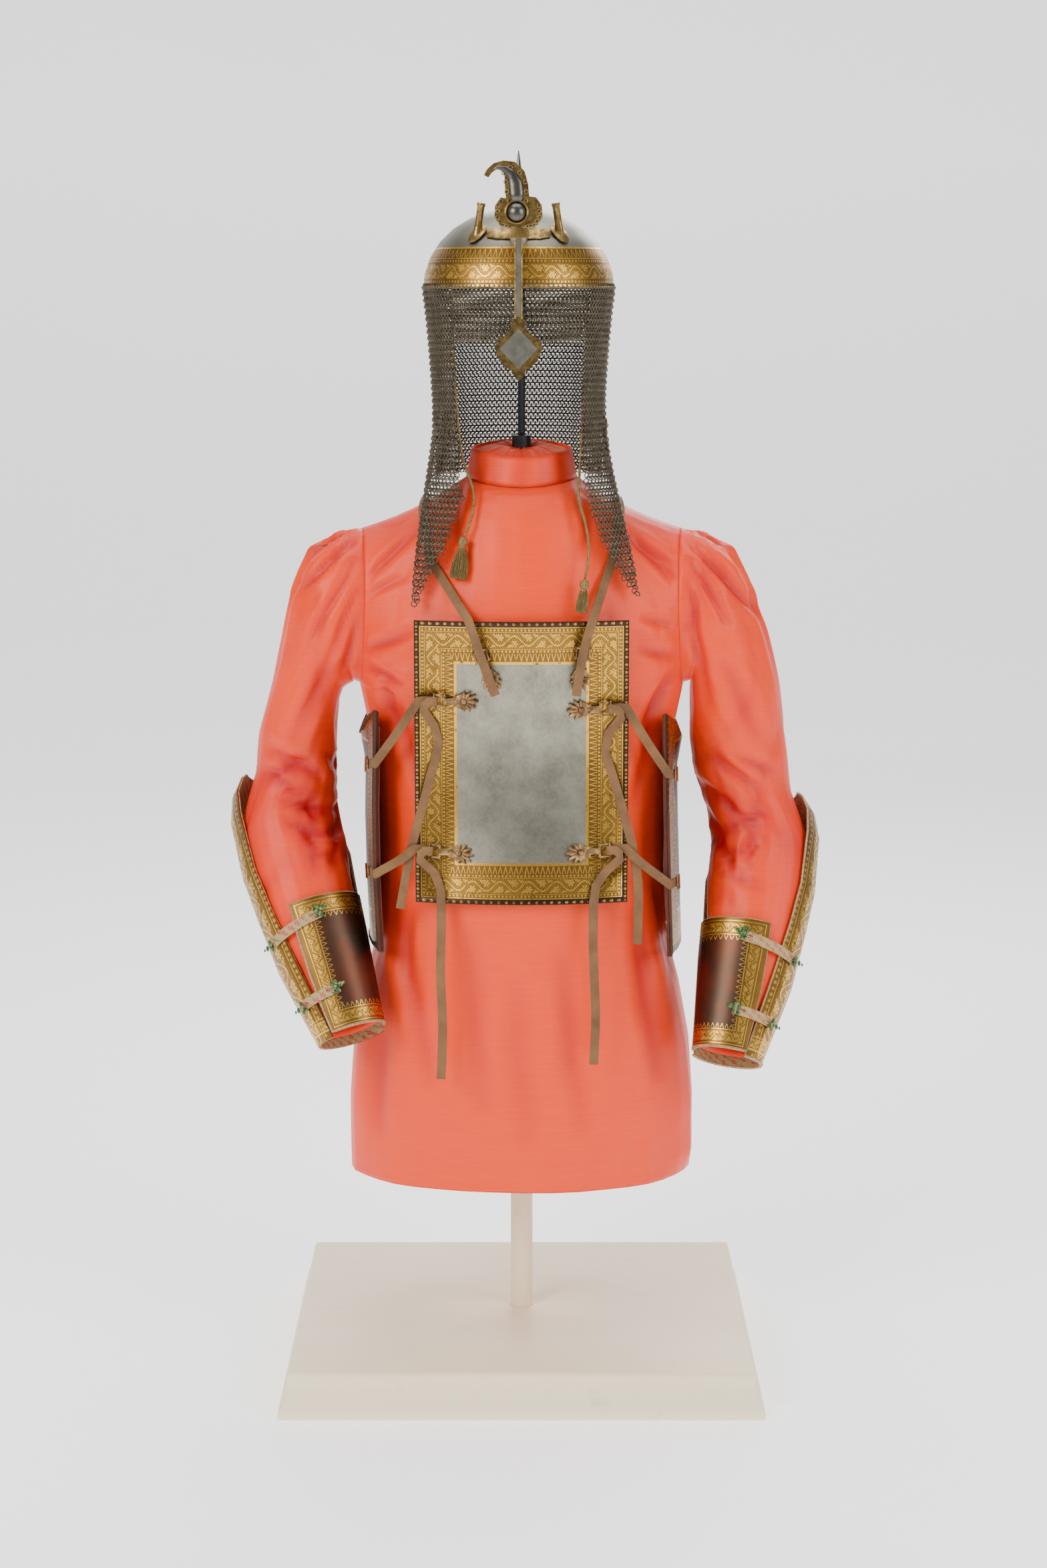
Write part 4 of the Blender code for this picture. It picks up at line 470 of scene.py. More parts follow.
def inner_guard_finish(metals, side_name):
    """The inner plate: dark polished steel tinted red as a painted reflection of the orange silk, with gold ornament
    along its edges.
    """
    nodes = Sockets("inner guard steel " + side_name, 0.22, 1.0)
    down, turn, length = arm_places(nodes, side_name)
    deep = nodes.maths("MULTIPLY", nodes.maths("SUBTRACT", 0.26, turn), 45.0)
    ends = nodes.maths("MINIMUM", nodes.maths("SUBTRACT", down, 0.48 * length),
                       nodes.maths("SUBTRACT", 1.02 * length, down))
    near = nodes.maths("MINIMUM", deep, ends)
    on_side = nodes.maths("LESS_THAN", deep, ends)
    u = nodes.maths("MULTIPLY_ADD", on_side, nodes.maths("SUBTRACT", down, nodes.maths("MULTIPLY", turn, 45.0)),
                    nodes.maths("MULTIPLY", turn, 45.0))
    masks = [
        nodes.inside(near, 3.4, 0.5),
        scroll(nodes, u, nodes.maths("SUBTRACT", near, 11.0), 17.0, 12.0),
        nodes.inside(near, 18.4, 0.5),
        petals(nodes, u, nodes.maths("SUBTRACT", near, 22.0), 6.0, 5.0),
    ]
    cloud = nodes.grain(16.0, 5.0, rough=0.6)
    # Painted reflection: the red in the dark centre stands for the orange silk mirrored in the steel.
    centre = nodes.blend(nodes.range(cloud, 0.42, 0.60), (0.07, 0.05, 0.035), (0.13, 0.05, 0.03))
    framed = nodes.maths("LESS_THAN", near, 19.0)
    gold_on_steel(nodes, nodes.any_of(*masks), centre, framed, metals)
    return nodes.material


def ring_finish(metals):
    """Dark iron of the mail rings."""
    nodes = Sockets("mail rings", 0.42, 1.0)
    nodes.colour(nodes.blend(nodes.grain(60.0, 6.0), (0.065, 0.052, 0.033), (0.21, 0.18, 0.125)))
    nodes.rough(nodes.range(nodes.grain(200.0, 3.0), 0.3, 0.7, 0.36, 0.55))
    return nodes.material


def suede_finish(trim, name="tan suede", tint=(1.0, 1.0, 1.0)):
    """Suede with a nap, darker rubbed patches and fine creases across."""
    nodes = Sockets(name, 0.88)
    nap = nodes.grain(900.0, 3.0)
    patch = nodes.grain(42.0, 5.0, rough=0.6)
    light = tuple(min(c * t * 1.18, 1.0) for c, t in zip(trim.suede, tint))
    dark = tuple(c * t * 0.62 for c, t in zip(trim.suede, tint))
    nodes.colour(nodes.blend(nodes.range(patch, 0.3, 0.7), dark, light))
    nodes.bump(nodes.maths("MULTIPLY_ADD", nap, 0.5, patch), 0.5, 0.0009)
    return nodes.material


def brocade_finish(trim, name, scale, flower_colour):
    """Cream brocade with woven flowers."""
    nodes = Sockets(name, 0.8)
    x, y, z = nodes.axes(nodes.stretch((1000.0, 1000.0, 1000.0)))
    across = nodes.maths("ADD", x, y)
    masks = []
    for shift in (0.0, scale / 2.0):
        u = nodes.maths("WRAP", nodes.maths("ADD", across, shift), scale / 2.0, -scale / 2.0)
        v = nodes.maths("WRAP", nodes.maths("ADD", z, shift), scale / 2.0, -scale / 2.0)
        masks.append(flower(nodes, u, v, 0.24 * scale, 5))
    ribs = nodes.maths("SINE", nodes.maths("MULTIPLY", z, 2.0 * math.pi / 1.1))
    leaves = []
    for shift in (0.25 * scale, 0.75 * scale):
        u = nodes.maths("WRAP", nodes.maths("ADD", across, shift), scale / 2.0, -scale / 2.0)
        v = nodes.maths("WRAP", nodes.maths("SUBTRACT", z, shift), scale / 2.0, -scale / 2.0)
        leaves.append(flower(nodes, u, v, 0.11 * scale, 3))
    ground = nodes.blend(nodes.any_of(*leaves), trim.cream[:], (0.10, 0.13, 0.04))
    nodes.colour(nodes.blend(nodes.any_of(*masks), ground, flower_colour))
    nodes.bump(nodes.maths("MULTIPLY_ADD", ribs, 0.3, nodes.grain(500.0, 2.0)), 0.4, 0.0006)
    return nodes.material


def thread_finish(trim, name, light, dark):
    """Twisted or braided metal thread."""
    nodes = Sockets(name, 0.48, 0.25)
    fibre = nodes.grain(650.0, 3.0, nodes.stretch((1.0, 1.0, 0.35)))
    nodes.colour(nodes.blend(nodes.range(fibre, 0.32, 0.68), dark, light))
    nodes.bump(fibre, 0.7, 0.0008)
    return nodes.material


def paint_finish():
    """Cream-white painted wood, rubbed thin along the mouldings and lightly marked."""
    nodes = Sockets("painted wood", 0.42)
    rub = nodes.range(nodes.grain(26.0, 8.0, rough=0.7), 0.60, 0.72)
    marks = nodes.grain(6.0, 6.0, nodes.stretch((1.0, 3.0, 8.0)))
    base = nodes.blend(marks, (0.93, 0.77, 0.52), (0.98, 0.85, 0.62))
    nodes.colour(nodes.blend(nodes.maths("MULTIPLY", rub, 0.35), base, (0.52, 0.46, 0.38)))
    nodes.bump(nodes.grain(70.0, 5.0), 0.08, 0.0006)
    return nodes.material


def black_finish():
    """Black lacquered metal."""
    nodes = Sockets("black metal", 0.32, 0.4)
    nodes.colour(nodes.blend(nodes.grain(80.0, 4.0), (0.012, 0.012, 0.013), (0.03, 0.03, 0.032)))
    nodes.bump(nodes.grain(300.0, 2.0), 0.05, 0.0003)
    return nodes.material


def calico_finish():
    """Plain calico over the padded form."""
    nodes = Sockets("calico", 0.9)
    weave = nodes.grain(1200.0, 2.0)
    nodes.colour(nodes.blend(weave, (0.55, 0.50, 0.42), (0.72, 0.67, 0.58)))
    nodes.bump(weave, 0.3, 0.0005)
    return nodes.material


def nasal_finish(metals):
    """The nose bar: gold with fine chasing, and a steel strip up the bar between gold edges."""
    nodes = Sockets("nose bar gold and steel", 0.32, 1.0)
    x, y, z = nodes.axes(nodes.stretch((1000.0, 1000.0, 1000.0)))
    across = nodes.maths("SUBTRACT", x, HELMET_X)
    leaf = nodes.maths("ADD", nodes.maths("MULTIPLY", nodes.maths("ABSOLUTE", across), 1.0 / 19.5),
                       nodes.maths("MULTIPLY", nodes.maths("ABSOLUTE", nodes.maths("SUBTRACT", z, 1123.5)), 1.0 / 20.5))
    bar = nodes.maths("MULTIPLY", nodes.inside(across, 0.0, 2.4), nodes.inside(z, 1200.0, 44.0))
    strip = nodes.any_of(bar, nodes.maths("LESS_THAN", leaf, 1.0))
    chased = nodes.maths("SINE", nodes.maths("MULTIPLY", z, 2.0 * math.pi / 2.6))
    worn = nodes.range(nodes.grain(150.0, 6.0, rough=0.65), 0.42, 0.64)
    bright, brown = (tuple(share * (0.62 * gold + 0.38 * grey) for gold, grey in zip(metals.gold, metals.steel))
                     for share in (0.62, 0.24))
    cloud = nodes.range(nodes.grain(60.0, 8.0, rough=0.66), 0.34, 0.66)
    polished = nodes.blend(cloud, tuple(0.95 * c for c in metals.steel), tuple(1.75 * c for c in metals.steel))
    nodes.colour(nodes.blend(strip, nodes.blend(worn, bright, brown), polished))
    nodes.bump(nodes.maths("MULTIPLY_ADD", chased, 0.25, nodes.grain(600.0, 2.0)), 0.22, 0.0006)
    return nodes.material


def buckle_finish(metals):
    """Browned bronze of the palmette buckles, brighter where it is rubbed."""
    nodes = Sockets("browned bronze", 0.40, 1.0)
    rubbed = nodes.range(nodes.grain(170.0, 6.0, rough=0.62), 0.40, 0.66)
    nodes.colour(nodes.blend(rubbed, (0.16, 0.085, 0.04), (0.47, 0.29, 0.13)))
    nodes.rough(nodes.range(rubbed, 0.0, 1.0, 0.50, 0.34))
    nodes.bump(nodes.grain(480.0, 3.0), 0.35, 0.0006)
    return nodes.material


def enamel_finish():
    """Green enamel over brass, rubbed through at its high places."""
    nodes = Sockets("green enamel", 0.30, 0.35)
    rubbed = nodes.range(nodes.grain(330.0, 5.0), 0.50, 0.62)
    nodes.colour(nodes.blend(rubbed, (0.012, 0.095, 0.03), (0.36, 0.25, 0.07)))
    nodes.bump(nodes.grain(500.0, 3.0), 0.3, 0.0006)
    return nodes.material


# Shared mesh steps

def own_piece(name, shape, finish, body, node=None, smooth=True):
    """Turn a bmesh into a finished object that rides on a body and may replace a node."""
    mesh = bpy.data.meshes.new(name)
    shape.to_mesh(mesh)
    shape.free()
    mesh.materials.append(finish)
    if smooth:
        mesh.shade_smooth()
    piece = bpy.data.objects.new(name, mesh)
    bpy.context.scene.collection.objects.link(piece)
    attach(piece, body)
    if node:
        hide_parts(*([node] if isinstance(node, str) else node))
    return piece


def merged_copy(node):
    """A node's mesh with its corners welded and its triangles joined in pairs."""
    shape = bmesh.new()
    shape.from_mesh(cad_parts[node].data)
    bmesh.ops.remove_doubles(shape, verts=shape.verts, dist=0.00002)
    bmesh.ops.join_triangles(shape, faces=shape.faces, angle_face_threshold=math.radians(40.0),
                             angle_shape_threshold=math.radians(60.0))
    return shape


def smooth_node(node, finish, body="suit", sharp=35.0):
    """A CAD node welded and shaded smooth, with its sharper edges kept."""
    piece = own_piece(node + "_finished", merged_copy(node), finish, body, node)
    piece.data.set_sharp_from_angle(angle=math.radians(sharp))
    return piece


def laid_lining(node, finish):
    """A lining that lies flat inside a plate."""
    piece = smooth_node(node, finish)


def dress(finish, *names):
    """Give CAD nodes a finish."""
    for name in names:
        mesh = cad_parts[name].data
        mesh.materials.clear()
        mesh.materials.append(finish)


def soft_step(value, low, high):
    share = min(max((value - low) / (high - low), 0.0), 1.0)
    return share * share * (3.0 - 2.0 * share)


# Silk

def ridge(place, stretch, seed):
    """A sharp-creased wrinkle value from 0, in a crease, to 1."""
    point = Vector((place.x * stretch[0], place.y * stretch[1], place.z * stretch[2] + seed))
    return min(abs(noise.noise(point)) * 2.6, 1.0)


def stroke_depth(strokes, x, z):
    """How deep a list of drawn creases is at a place seen from the front, with a puffed edge beside each, and how much
    painted shade lies in their valleys.
    """
    sunk, mark = 0.0, 0.0
    wander = Vector((x * 0.02, z * 0.02, 0.0))
    x += 3.0 * noise.noise(wander)
    z += 3.0 * noise.noise(wander + Vector((7.0, 0.0, 0.0)))
    for x0, z0, x1, z1, width, depth in strokes:
        run, rise = x1 - x0, z1 - z0
        share = ((x - x0) * run + (z - z0) * rise) / (run * run + rise * rise)
        if not -0.1 < share < 1.1:
            continue
        away = abs((x - x0) * rise - (z - z0) * run) / math.hypot(run, rise)
        if away > 4.5 * width:
            continue
        taper = math.sin(math.pi * min(max(share, 0.0), 1.0)) ** 0.6
        width *= 0.8
        valley = math.exp(-((away / width) ** 2))
        sunk += depth * taper * (valley - 0.55 * math.exp(-(((away - 2.0 * width) / width) ** 2)))
        # mark is painted shade in the crease's valley, for the silk's colour.
        mark = max(mark, taper * valley * min(depth / 3.0, 1.0))
    return max(sunk, -1.1), mark


TUNIC_FRONT_STROKES = (
    # x, z at one end, x, z at the other, half width, depth, in millimetres
    (-168.0, 880.0, -105.0, 935.0, 6.0, 2.4),
    (-168.0, 862.0, -118.0, 888.0, 5.0, 1.8),
    (-168.0, 806.0, -112.0, 832.0, 7.0, 2.6),
    (-166.0, 790.0, -125.0, 772.0, 6.0, 3.0),
    (-150.0, 778.0, -118.0, 700.0, 8.0, 2.6),
    (-128.0, 760.0, -112.0, 660.0, 7.0, 2.0),
    (166.0, 880.0, 118.0, 922.0, 6.0, 3.4),
    (166.0, 893.0, 108.0, 930.0, 5.0, 2.6),
    (166.0, 832.0, 122.0, 846.0, 6.0, 2.2),
    (166.0, 800.0, 122.0, 812.0, 8.0, 2.2),
    (162.0, 786.0, 126.0, 720.0, 8.0, 3.0),
    (146.0, 770.0, 120.0, 640.0, 8.0, 2.2),
    (-140.0, 560.0, -96.0, 330.0, 12.0, 2.4),
    (-118.0, 540.0, -128.0, 440.0, 9.0, 2.0),
    (142.0, 560.0, 165.0, 440.0, 7.0, 3.6),
    (120.0, 545.0, 150.0, 330.0, 13.0, 2.6),
    (-60.0, 520.0, -40.0, 300.0, 16.0, 1.6),
    (40.0, 500.0, 66.0, 280.0, 15.0, 1.6),
    (-8.0, 470.0, 4.0, 270.0, 18.0, 1.2),
    (-150.0, 400.0, -158.0, 270.0, 12.0, 2.0),
    (-72.0, 955.0, -56.0, 905.0, 7.0, 1.4),
    (74.0, 952.0, 60.0, 905.0, 7.0, 1.2),
)
TUNIC_BACK_STROKES = (
    (-166.0, 860.0, -110.0, 900.0, 7.0, 2.6),
    (166.0, 866.0, 112.0, 896.0, 7.0, 2.6),
    (-162.0, 790.0, -120.0, 730.0, 8.0, 2.8),
    (162.0, 790.0, 122.0, 726.0, 8.0, 2.8),
    (-120.0, 540.0, -90.0, 290.0, 13.0, 2.6),
    (-40.0, 530.0, -52.0, 280.0, 14.0, 2.2),
    (28.0, 535.0, 36.0, 270.0, 15.0, 2.2),
    (110.0, 540.0, 130.0, 290.0, 13.0, 2.8),
)


def tunic_crease(place):
    """How far the tunic's cloth sinks at a place, in metres, with its fold value: painted shade in the creases, on the
    sides, on the shoulder tops and under the arms.
    """
    x, z = place.x / MM, place.z / MM
    strokes = TUNIC_FRONT_STROKES if place.y < 0.0 else TUNIC_BACK_STROKES
    sunk, mark = stroke_depth(strokes, x, z)
    small = 1.0 - ridge(place, (16.0, 16.0, 7.0), 9.0)
    sunk += 0.5 * small ** 3
    # Painted shade on the sides, on the shoulder tops and under the arms, added to the creases' painted shade.
    side = soft_step(abs(x), 128.0, 172.0)
    shoulder = soft_step(z, 905.0, 940.0)
    under_arm_shade = math.exp(-(((z - 740.0) / 70.0) ** 2)) * soft_step(abs(x), 95.0, 150.0)
    tone = 0.12 * side * (1.0 - shoulder) + 0.42 * shoulder * soft_step(abs(x), 60.0, 140.0) + 0.10 * under_arm_shade
    return sunk * MM, min(0.75 * mark + tone, 1.0)


SLEEVE_STROKES = {
    "left": (
        (-178.0, 938.0, -232.0, 905.0, 5.0, 3.2),
        (-176.0, 926.0, -238.0, 868.0, 5.5, 3.4),
        (-176.0, 905.0, -226.0, 812.0, 6.0, 3.2),
        (-174.0, 878.0, -206.0, 790.0, 6.0, 2.6),
        (-172.0, 850.0, -192.0, 770.0, 6.0, 2.6),
        (-196.0, 800.0, -252.0, 700.0, 10.0, 2.4),
        (-276.0, 700.0, -214.0, 662.0, 8.0, 6.0),
        (-278.0, 672.0, -236.0, 640.0, 7.0, 5.0),
        (-282.0, 664.0, -226.0, 684.0, 8.0, 4.6),
        (-268.0, 640.0, -196.0, 618.0, 8.0, 6.4),
        (-212.0, 690.0, -192.0, 650.0, 7.0, 4.4),
        (-262.0, 618.0, -206.0, 596.0, 7.0, 5.6),
        (-244.0, 598.0, -190.0, 606.0, 7.0, 4.8),
        (-196.0, 640.0, -206.0, 560.0, 7.0, 4.0),
        (-232.0, 586.0, -188.0, 574.0, 6.0, 4.6),
        (-232.0, 650.0, -222.0, 560.0, 8.0, 3.6),
    ),
    "right": (
        (178.0, 936.0, 232.0, 908.0, 5.0, 3.4),
        (176.0, 924.0, 262.0, 836.0, 6.0, 4.4),
        (176.0, 905.0, 224.0, 830.0, 6.0, 3.0),
        (175.0, 885.0, 196.0, 780.0, 6.0, 3.0),
        (174.0, 845.0, 204.0, 740.0, 7.0, 2.4),
        (210.0, 800.0, 262.0, 700.0, 11.0, 2.6),
        (196.0, 690.0, 262.0, 648.0, 8.0, 6.0),
        (190.0, 656.0, 250.0, 610.0, 8.0, 6.4),
        (276.0, 668.0, 226.0, 690.0, 7.0, 4.4),
        (272.0, 630.0, 216.0, 600.0, 8.0, 6.0),
        (200.0, 640.0, 230.0, 560.0, 7.0, 4.6),
        (268.0, 600.0, 214.0, 572.0, 7.0, 5.6),
        (196.0, 600.0, 244.0, 560.0, 7.0, 4.6),
        (256.0, 650.0, 246.0, 560.0, 8.0, 3.6),
        (210.0, 566.0, 262.0, 548.0, 6.0, 4.4),
    ),
}


def sleeve_crease(place, side_name):
    """Pleats under the shoulder seam and sharp folds round the elbow, the back's mirrored from the front's, with
    painted shade in the creases, at the elbow, the sleeve head and the outer edge.
    """
    start, end = (Vector(point) * MM for point in ARM_ENDS[side_name])
    x, z = place.x / MM, place.z / MM
    axis = arm_middle(place, side_name)
    if place.y > axis.y:
        x = 2.0 * axis.x / MM - x
        z += 14.0
    sunk, mark = stroke_depth(SLEEVE_STROKES[side_name], x, z)
    head = soft_step(z, 872.0, 925.0)
    turn = math.atan2(place.y, abs(place.x) - 0.19)
    pleat = 0.5 + 0.5 * math.cos(turn * 22.0 + 2.0 * noise.noise(place * 9.0))
    elbow = math.exp(-(((z - start.z / MM - 12.0) / 74.0) ** 2))
    loose = 1.0 - ridge(place, (14.0, 14.0, 7.0), 6.0)
    guarded = 1.0 - soft_step(z, start.z / MM - 75.0, start.z / MM - 20.0)
    sunk = (sunk * (1.0 - 0.7 * guarded) * (1.0 - 0.45 * elbow) + 1.6 * head * pleat + 1.2 * loose ** 2) * MM
    # Painted shade: the creases, the elbow, the sleeve head, the outer edge and the loose wrinkles blend the silk
    # towards its crimson shade colour.
    tone = 0.22 * elbow + 0.20 * head + 0.20 * soft_step(abs(place.x), 0.25, 0.30)
    return sunk, min(0.65 * mark + tone + 0.25 * loose ** 3, 1.0)


def creased_cloth(node, finish, crease, middle, cuts):
    """Subdivide a node's cloth, sink its creases towards the inside of the garment, and keep each corner's painted
    shade as its fold value.
    """
    shape = merged_copy(node)
    bmesh.ops.subdivide_edges(shape, edges=shape.edges, cuts=cuts, use_grid_fill=True, smooth=0.0)
    for _ in range(2):
        bmesh.ops.smooth_vert(shape, verts=[v for v in shape.verts if not on_edge(v)], factor=0.5,
                              use_axis_x=True, use_axis_y=True, use_axis_z=True)
    shape.normal_update()
    rim = [corner.co.copy() for corner in shape.verts if on_edge(corner)]
    lookup = KDTree(len(rim))
    for index, place in enumerate(rim):
        lookup.insert(place, index)
    lookup.balance()
    strength = bpy.context.scene.armour_cloth.crease
    # The fold layer holds painted shade, which the silk's colour reads.
    mark = shape.verts.layers.float.new("fold")
    moves = []
    for corner in shape.verts:
        inward = middle(corner.co) - corner.co
        direction = corner.normal if corner.normal.dot(inward) > 0.0 else -corner.normal
        sunk, fold = crease(corner.co)
        corner[mark] = fold
        moves.append((corner, direction * sunk * strength * soft_step(lookup.find(corner.co)[2], 0.001, 0.014)))
    for corner, move in moves:
        corner.co += move
    piece = own_piece(node + "_silk", shape, finish, "suit", node)
    return piece


def on_edge(corner):
    """Whether a corner is on the thin edge of a cloth wall."""
    return any(len(edge.link_faces) == 2 and edge.calc_face_angle() > 1.0 for edge in corner.link_edges)


def arm_middle(place, side_name):
    """The nearest place on the line through the shoulder, the elbow and the wrist."""
    start, end = (Vector(point) * MM for point in ARM_ENDS[side_name])
    shoulder = Vector(SHOULDER) * MM
    shoulder.x = math.copysign(shoulder.x, start.x)
    found = []
    for first, second in ((shoulder, start), (start, end)):
        step = second - first
        share = min(max((place - first).dot(step) / step.length_squared, 0.0), 1.0)
        found.append(first + step * share)
    return min(found, key=lambda point: (point - place).length)


def collar_crease(place):
    """Fine gathers round the neck, with painted shade in each gather."""
    turn = math.atan2(place.x, -place.y)
    pleat = 0.5 + 0.5 * math.cos(turn * 34.0 + 2.5 * noise.noise(place * 30.0))
    # The second value is painted shade, deepest where each gather sinks.
    return 0.0007 * pleat, 0.35 * pleat


# Mail

def ring_shape(wire, size):
    """One flattened ring with eight sides round and three across its wire."""
    shape = bmesh.new()
    bmesh.ops.create_circle(shape, segments=3, radius=wire,
                            matrix=Matrix.Translation((size, 0.0, 0.0)) @ Matrix.Rotation(math.pi / 2.0, 4, "X"))
    bmesh.ops.spin(shape, geom=shape.edges[:] + shape.verts[:], cent=(0.0, 0.0, 0.0), axis=(0.0, 0.0, 1.0),
                   angle=2.0 * math.pi, steps=8, use_merge=True)
    bmesh.ops.recalc_face_normals(shape, faces=shape.faces)
    return shape


def surface_of(node):
    """A lookup of a node's surface."""
    shape = merged_copy(node)
    tree = BVHTree.FromBMesh(shape)
    shape.free()
    return tree


def mail_rings(node, metals, finish, start_turn, end_turn, lowest, centre_y):
    """Rows of linked rings, evenly spaced along level lines on a node's outer side."""
    tree = surface_of(node)
    ring = ring_shape(metals.ring_wire, 0.60 * metals.ring_across)
    template = bpy.data.meshes.new(node + "_ring")
    ring.to_mesh(template)
    ring.free()
    looks = max(2, int(math.degrees(end_turn - start_turn) / 1.5))
    shape = bmesh.new()
    for row in range(int((RIM_Z + 3.0 - lowest) * MM / metals.ring_down)):
        height = (RIM_Z + 2.0) * MM - row * metals.ring_down
        line = []
        for step in range(looks + 1):
            turn = start_turn + (end_turn - start_turn) * step / looks
            place, normal = mail_surface(tree, turn, height, centre_y)
            if place is not None:
                line.append((place, normal))
        travelled, goal = 0.0, metals.ring_across * (0.25 if row % 2 else 0.75)
        lean = 0.42 if row % 2 else -0.42
        for (place, normal), (next_place, next_normal) in zip(line, line[1:]):
            span = (next_place - place).length
            while goal <= travelled + span < travelled + 0.04:
                share = (goal - travelled) / span
                facing = normal.lerp(next_normal, share).normalized()
                turned = facing.to_track_quat("Z", "Y").to_matrix().to_4x4()
                copy = template.copy()
                copy.transform(Matrix.Translation(place.lerp(next_place, share)) @ turned @ Matrix.Rotation(lean, 4, "X"))
                shape.from_mesh(copy)
                bpy.data.meshes.remove(copy)
                goal += metals.ring_across
            travelled += span
    bpy.data.meshes.remove(template)
    return own_piece(node + "_rings", shape, finish, "suit", node)


def mail_surface(tree, turn, height, centre_y):
    """Where a level line from the helmet's middle leaves the mail, and the way it faces."""
    centre = Vector((HELMET_X * MM, centre_y, min(height, (RIM_Z - 1.5) * MM)))
    outward = Vector((math.sin(turn), -math.cos(turn), 0.0))
    place, normal, _, _ = tree.ray_cast(centre + outward * 0.4, -outward, 0.4)
    if place is None:
        return None, None
    if normal.dot(outward) < 0.0:
        normal = -normal
    place.z = height
    return place + normal * 0.0002, normal


# Gold and steel details

def turned_piece(name, profile, centre, axis, finish, body="suit", steps=32):
    """Spin a profile of (radius, height) in millimetres round an axis through a centre."""
    shape = bmesh.new()
    corners = [shape.verts.new((radius * MM, 0.0, height * MM)) for radius, height in profile]
    edges = [shape.edges.new(pair) for pair in zip(corners, corners[1:])]
    bmesh.ops.spin(shape, geom=corners + edges, cent=(0.0, 0.0, 0.0), axis=(0.0, 0.0, 1.0),
                   angle=2.0 * math.pi, steps=steps, use_merge=True)
    bmesh.ops.remove_doubles(shape, verts=shape.verts, dist=0.00001)
    bmesh.ops.recalc_face_normals(shape, faces=shape.faces)
    turn = Vector(axis).to_track_quat("Z", "Y").to_matrix().to_4x4()
    bmesh.ops.transform(shape, matrix=Matrix.Translation(Vector(centre) * MM) @ turn, verts=shape.verts)
    return own_piece(name, shape, finish, body)


def beads(name, places, radius, finish, body="suit", squash=0.6):
    """Small domed beads, given as (place, facing) pairs in millimetres."""
    shape = bmesh.new()
    for place, facing in places:
        turn = Vector(facing).to_track_quat("Z", "Y").to_matrix().to_4x4()
        flat = Matrix.Diagonal((1.0, 1.0, squash, 1.0))
        bmesh.ops.create_uvsphere(shape, u_segments=8, v_segments=5, radius=radius * MM,
                                  matrix=Matrix.Translation(Vector(place) * MM) @ turn @ flat)
    return own_piece(name, shape, finish, body)


def wire_rings(name, places, radius, wire, finish, body):
    """Small flat rings of round wire, given as (place, facing) pairs in millimetres."""
    shape = bmesh.new()
    for place, facing in places:
        here = Matrix.Translation(Vector(place) * MM) @ Vector(facing).to_track_quat("Z", "Y").to_matrix().to_4x4()
        section = here @ Matrix.Translation((radius * MM, 0.0, 0.0)) @ Matrix.Rotation(math.pi / 2.0, 4, "X")
        corners = bmesh.ops.create_circle(shape, segments=6, radius=wire * MM, matrix=section)["verts"]
        edges = list({edge for corner in corners for edge in corner.link_edges})
        bmesh.ops.spin(shape, geom=corners + edges, cent=here.translation, axis=here.to_3x3() @ Vector((0.0, 0.0, 1.0)),
                       angle=2.0 * math.pi, steps=12, use_merge=True)
    bmesh.ops.recalc_face_normals(shape, faces=shape.faces)
    return own_piece(name, shape, finish, body)


def rod_along(name, points, radius, finish, body="suit", sides=6, closed=False):
    """A round wire through points in millimetres."""
    curve = bpy.data.curves.new(name, "CURVE")
    curve.dimensions = "3D"
    curve.bevel_depth = radius * MM
    curve.bevel_resolution = max(sides // 4, 0)
    curve.use_fill_caps = True
    spline = curve.splines.new("POLY")
    spline.points.add(len(points) - 1)
    spline.use_cyclic_u = closed
    for knot, point in zip(spline.points, points):
        knot.co = (*(Vector(point) * MM), 1.0)
    curve.materials.append(finish)
    piece = bpy.data.objects.new(name, curve)
    bpy.context.scene.collection.objects.link(piece)
    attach(piece, body)
    return piece


def rounded_node(node, finish, body="suit", width=0.0004, segments=2):
    """A CAD node with softened edges in place of the plain one."""
    shape = merged_copy(node)
    sharp = [edge for edge in shape.edges if len(edge.link_faces) == 2 and edge.calc_face_angle() > 0.6]
    bmesh.ops.bevel(shape, geom=sharp, offset=width, offset_type="OFFSET", segments=segments, profile=0.5,
                    affect="EDGES", clamp_overlap=True, material=-1)
    return own_piece(node + "_finished", shape, finish, body, node)


def leaning(x, z, stand_off):
    """A place on the front of the nose bar's leaning plane."""
    return (HELMET_X + x, NASAL_Y + (z - RIM_Z) * NASAL_LEAN - 1.0 - stand_off, z)


def plate_front(x, z, stand_off):
    """A place in front of the bowed front plate."""
    return (x, PLATE_Y + PLATE_BOW * (x / PLATE_HALF) ** 2 - stand_off, z)


def turns(count):
    return [2.0 * math.pi * step / count for step in range(count)]


def rim_walk(half, bottom, top, pitch):
    """Places about a pitch apart round a rectangle, as (x, z) pairs."""
    corners = [(-half, bottom), (half, bottom), (half, top), (-half, top), (-half, bottom)]
    places = []
    for (x0, z0), (x1, z1) in zip(corners, corners[1:]):
        steps = round((abs(x1 - x0) + abs(z1 - z0)) / pitch)
        places += [(x0 + (x1 - x0) * step / steps, z0 + (z1 - z0) * step / steps) for step in range(steps)]
    return places


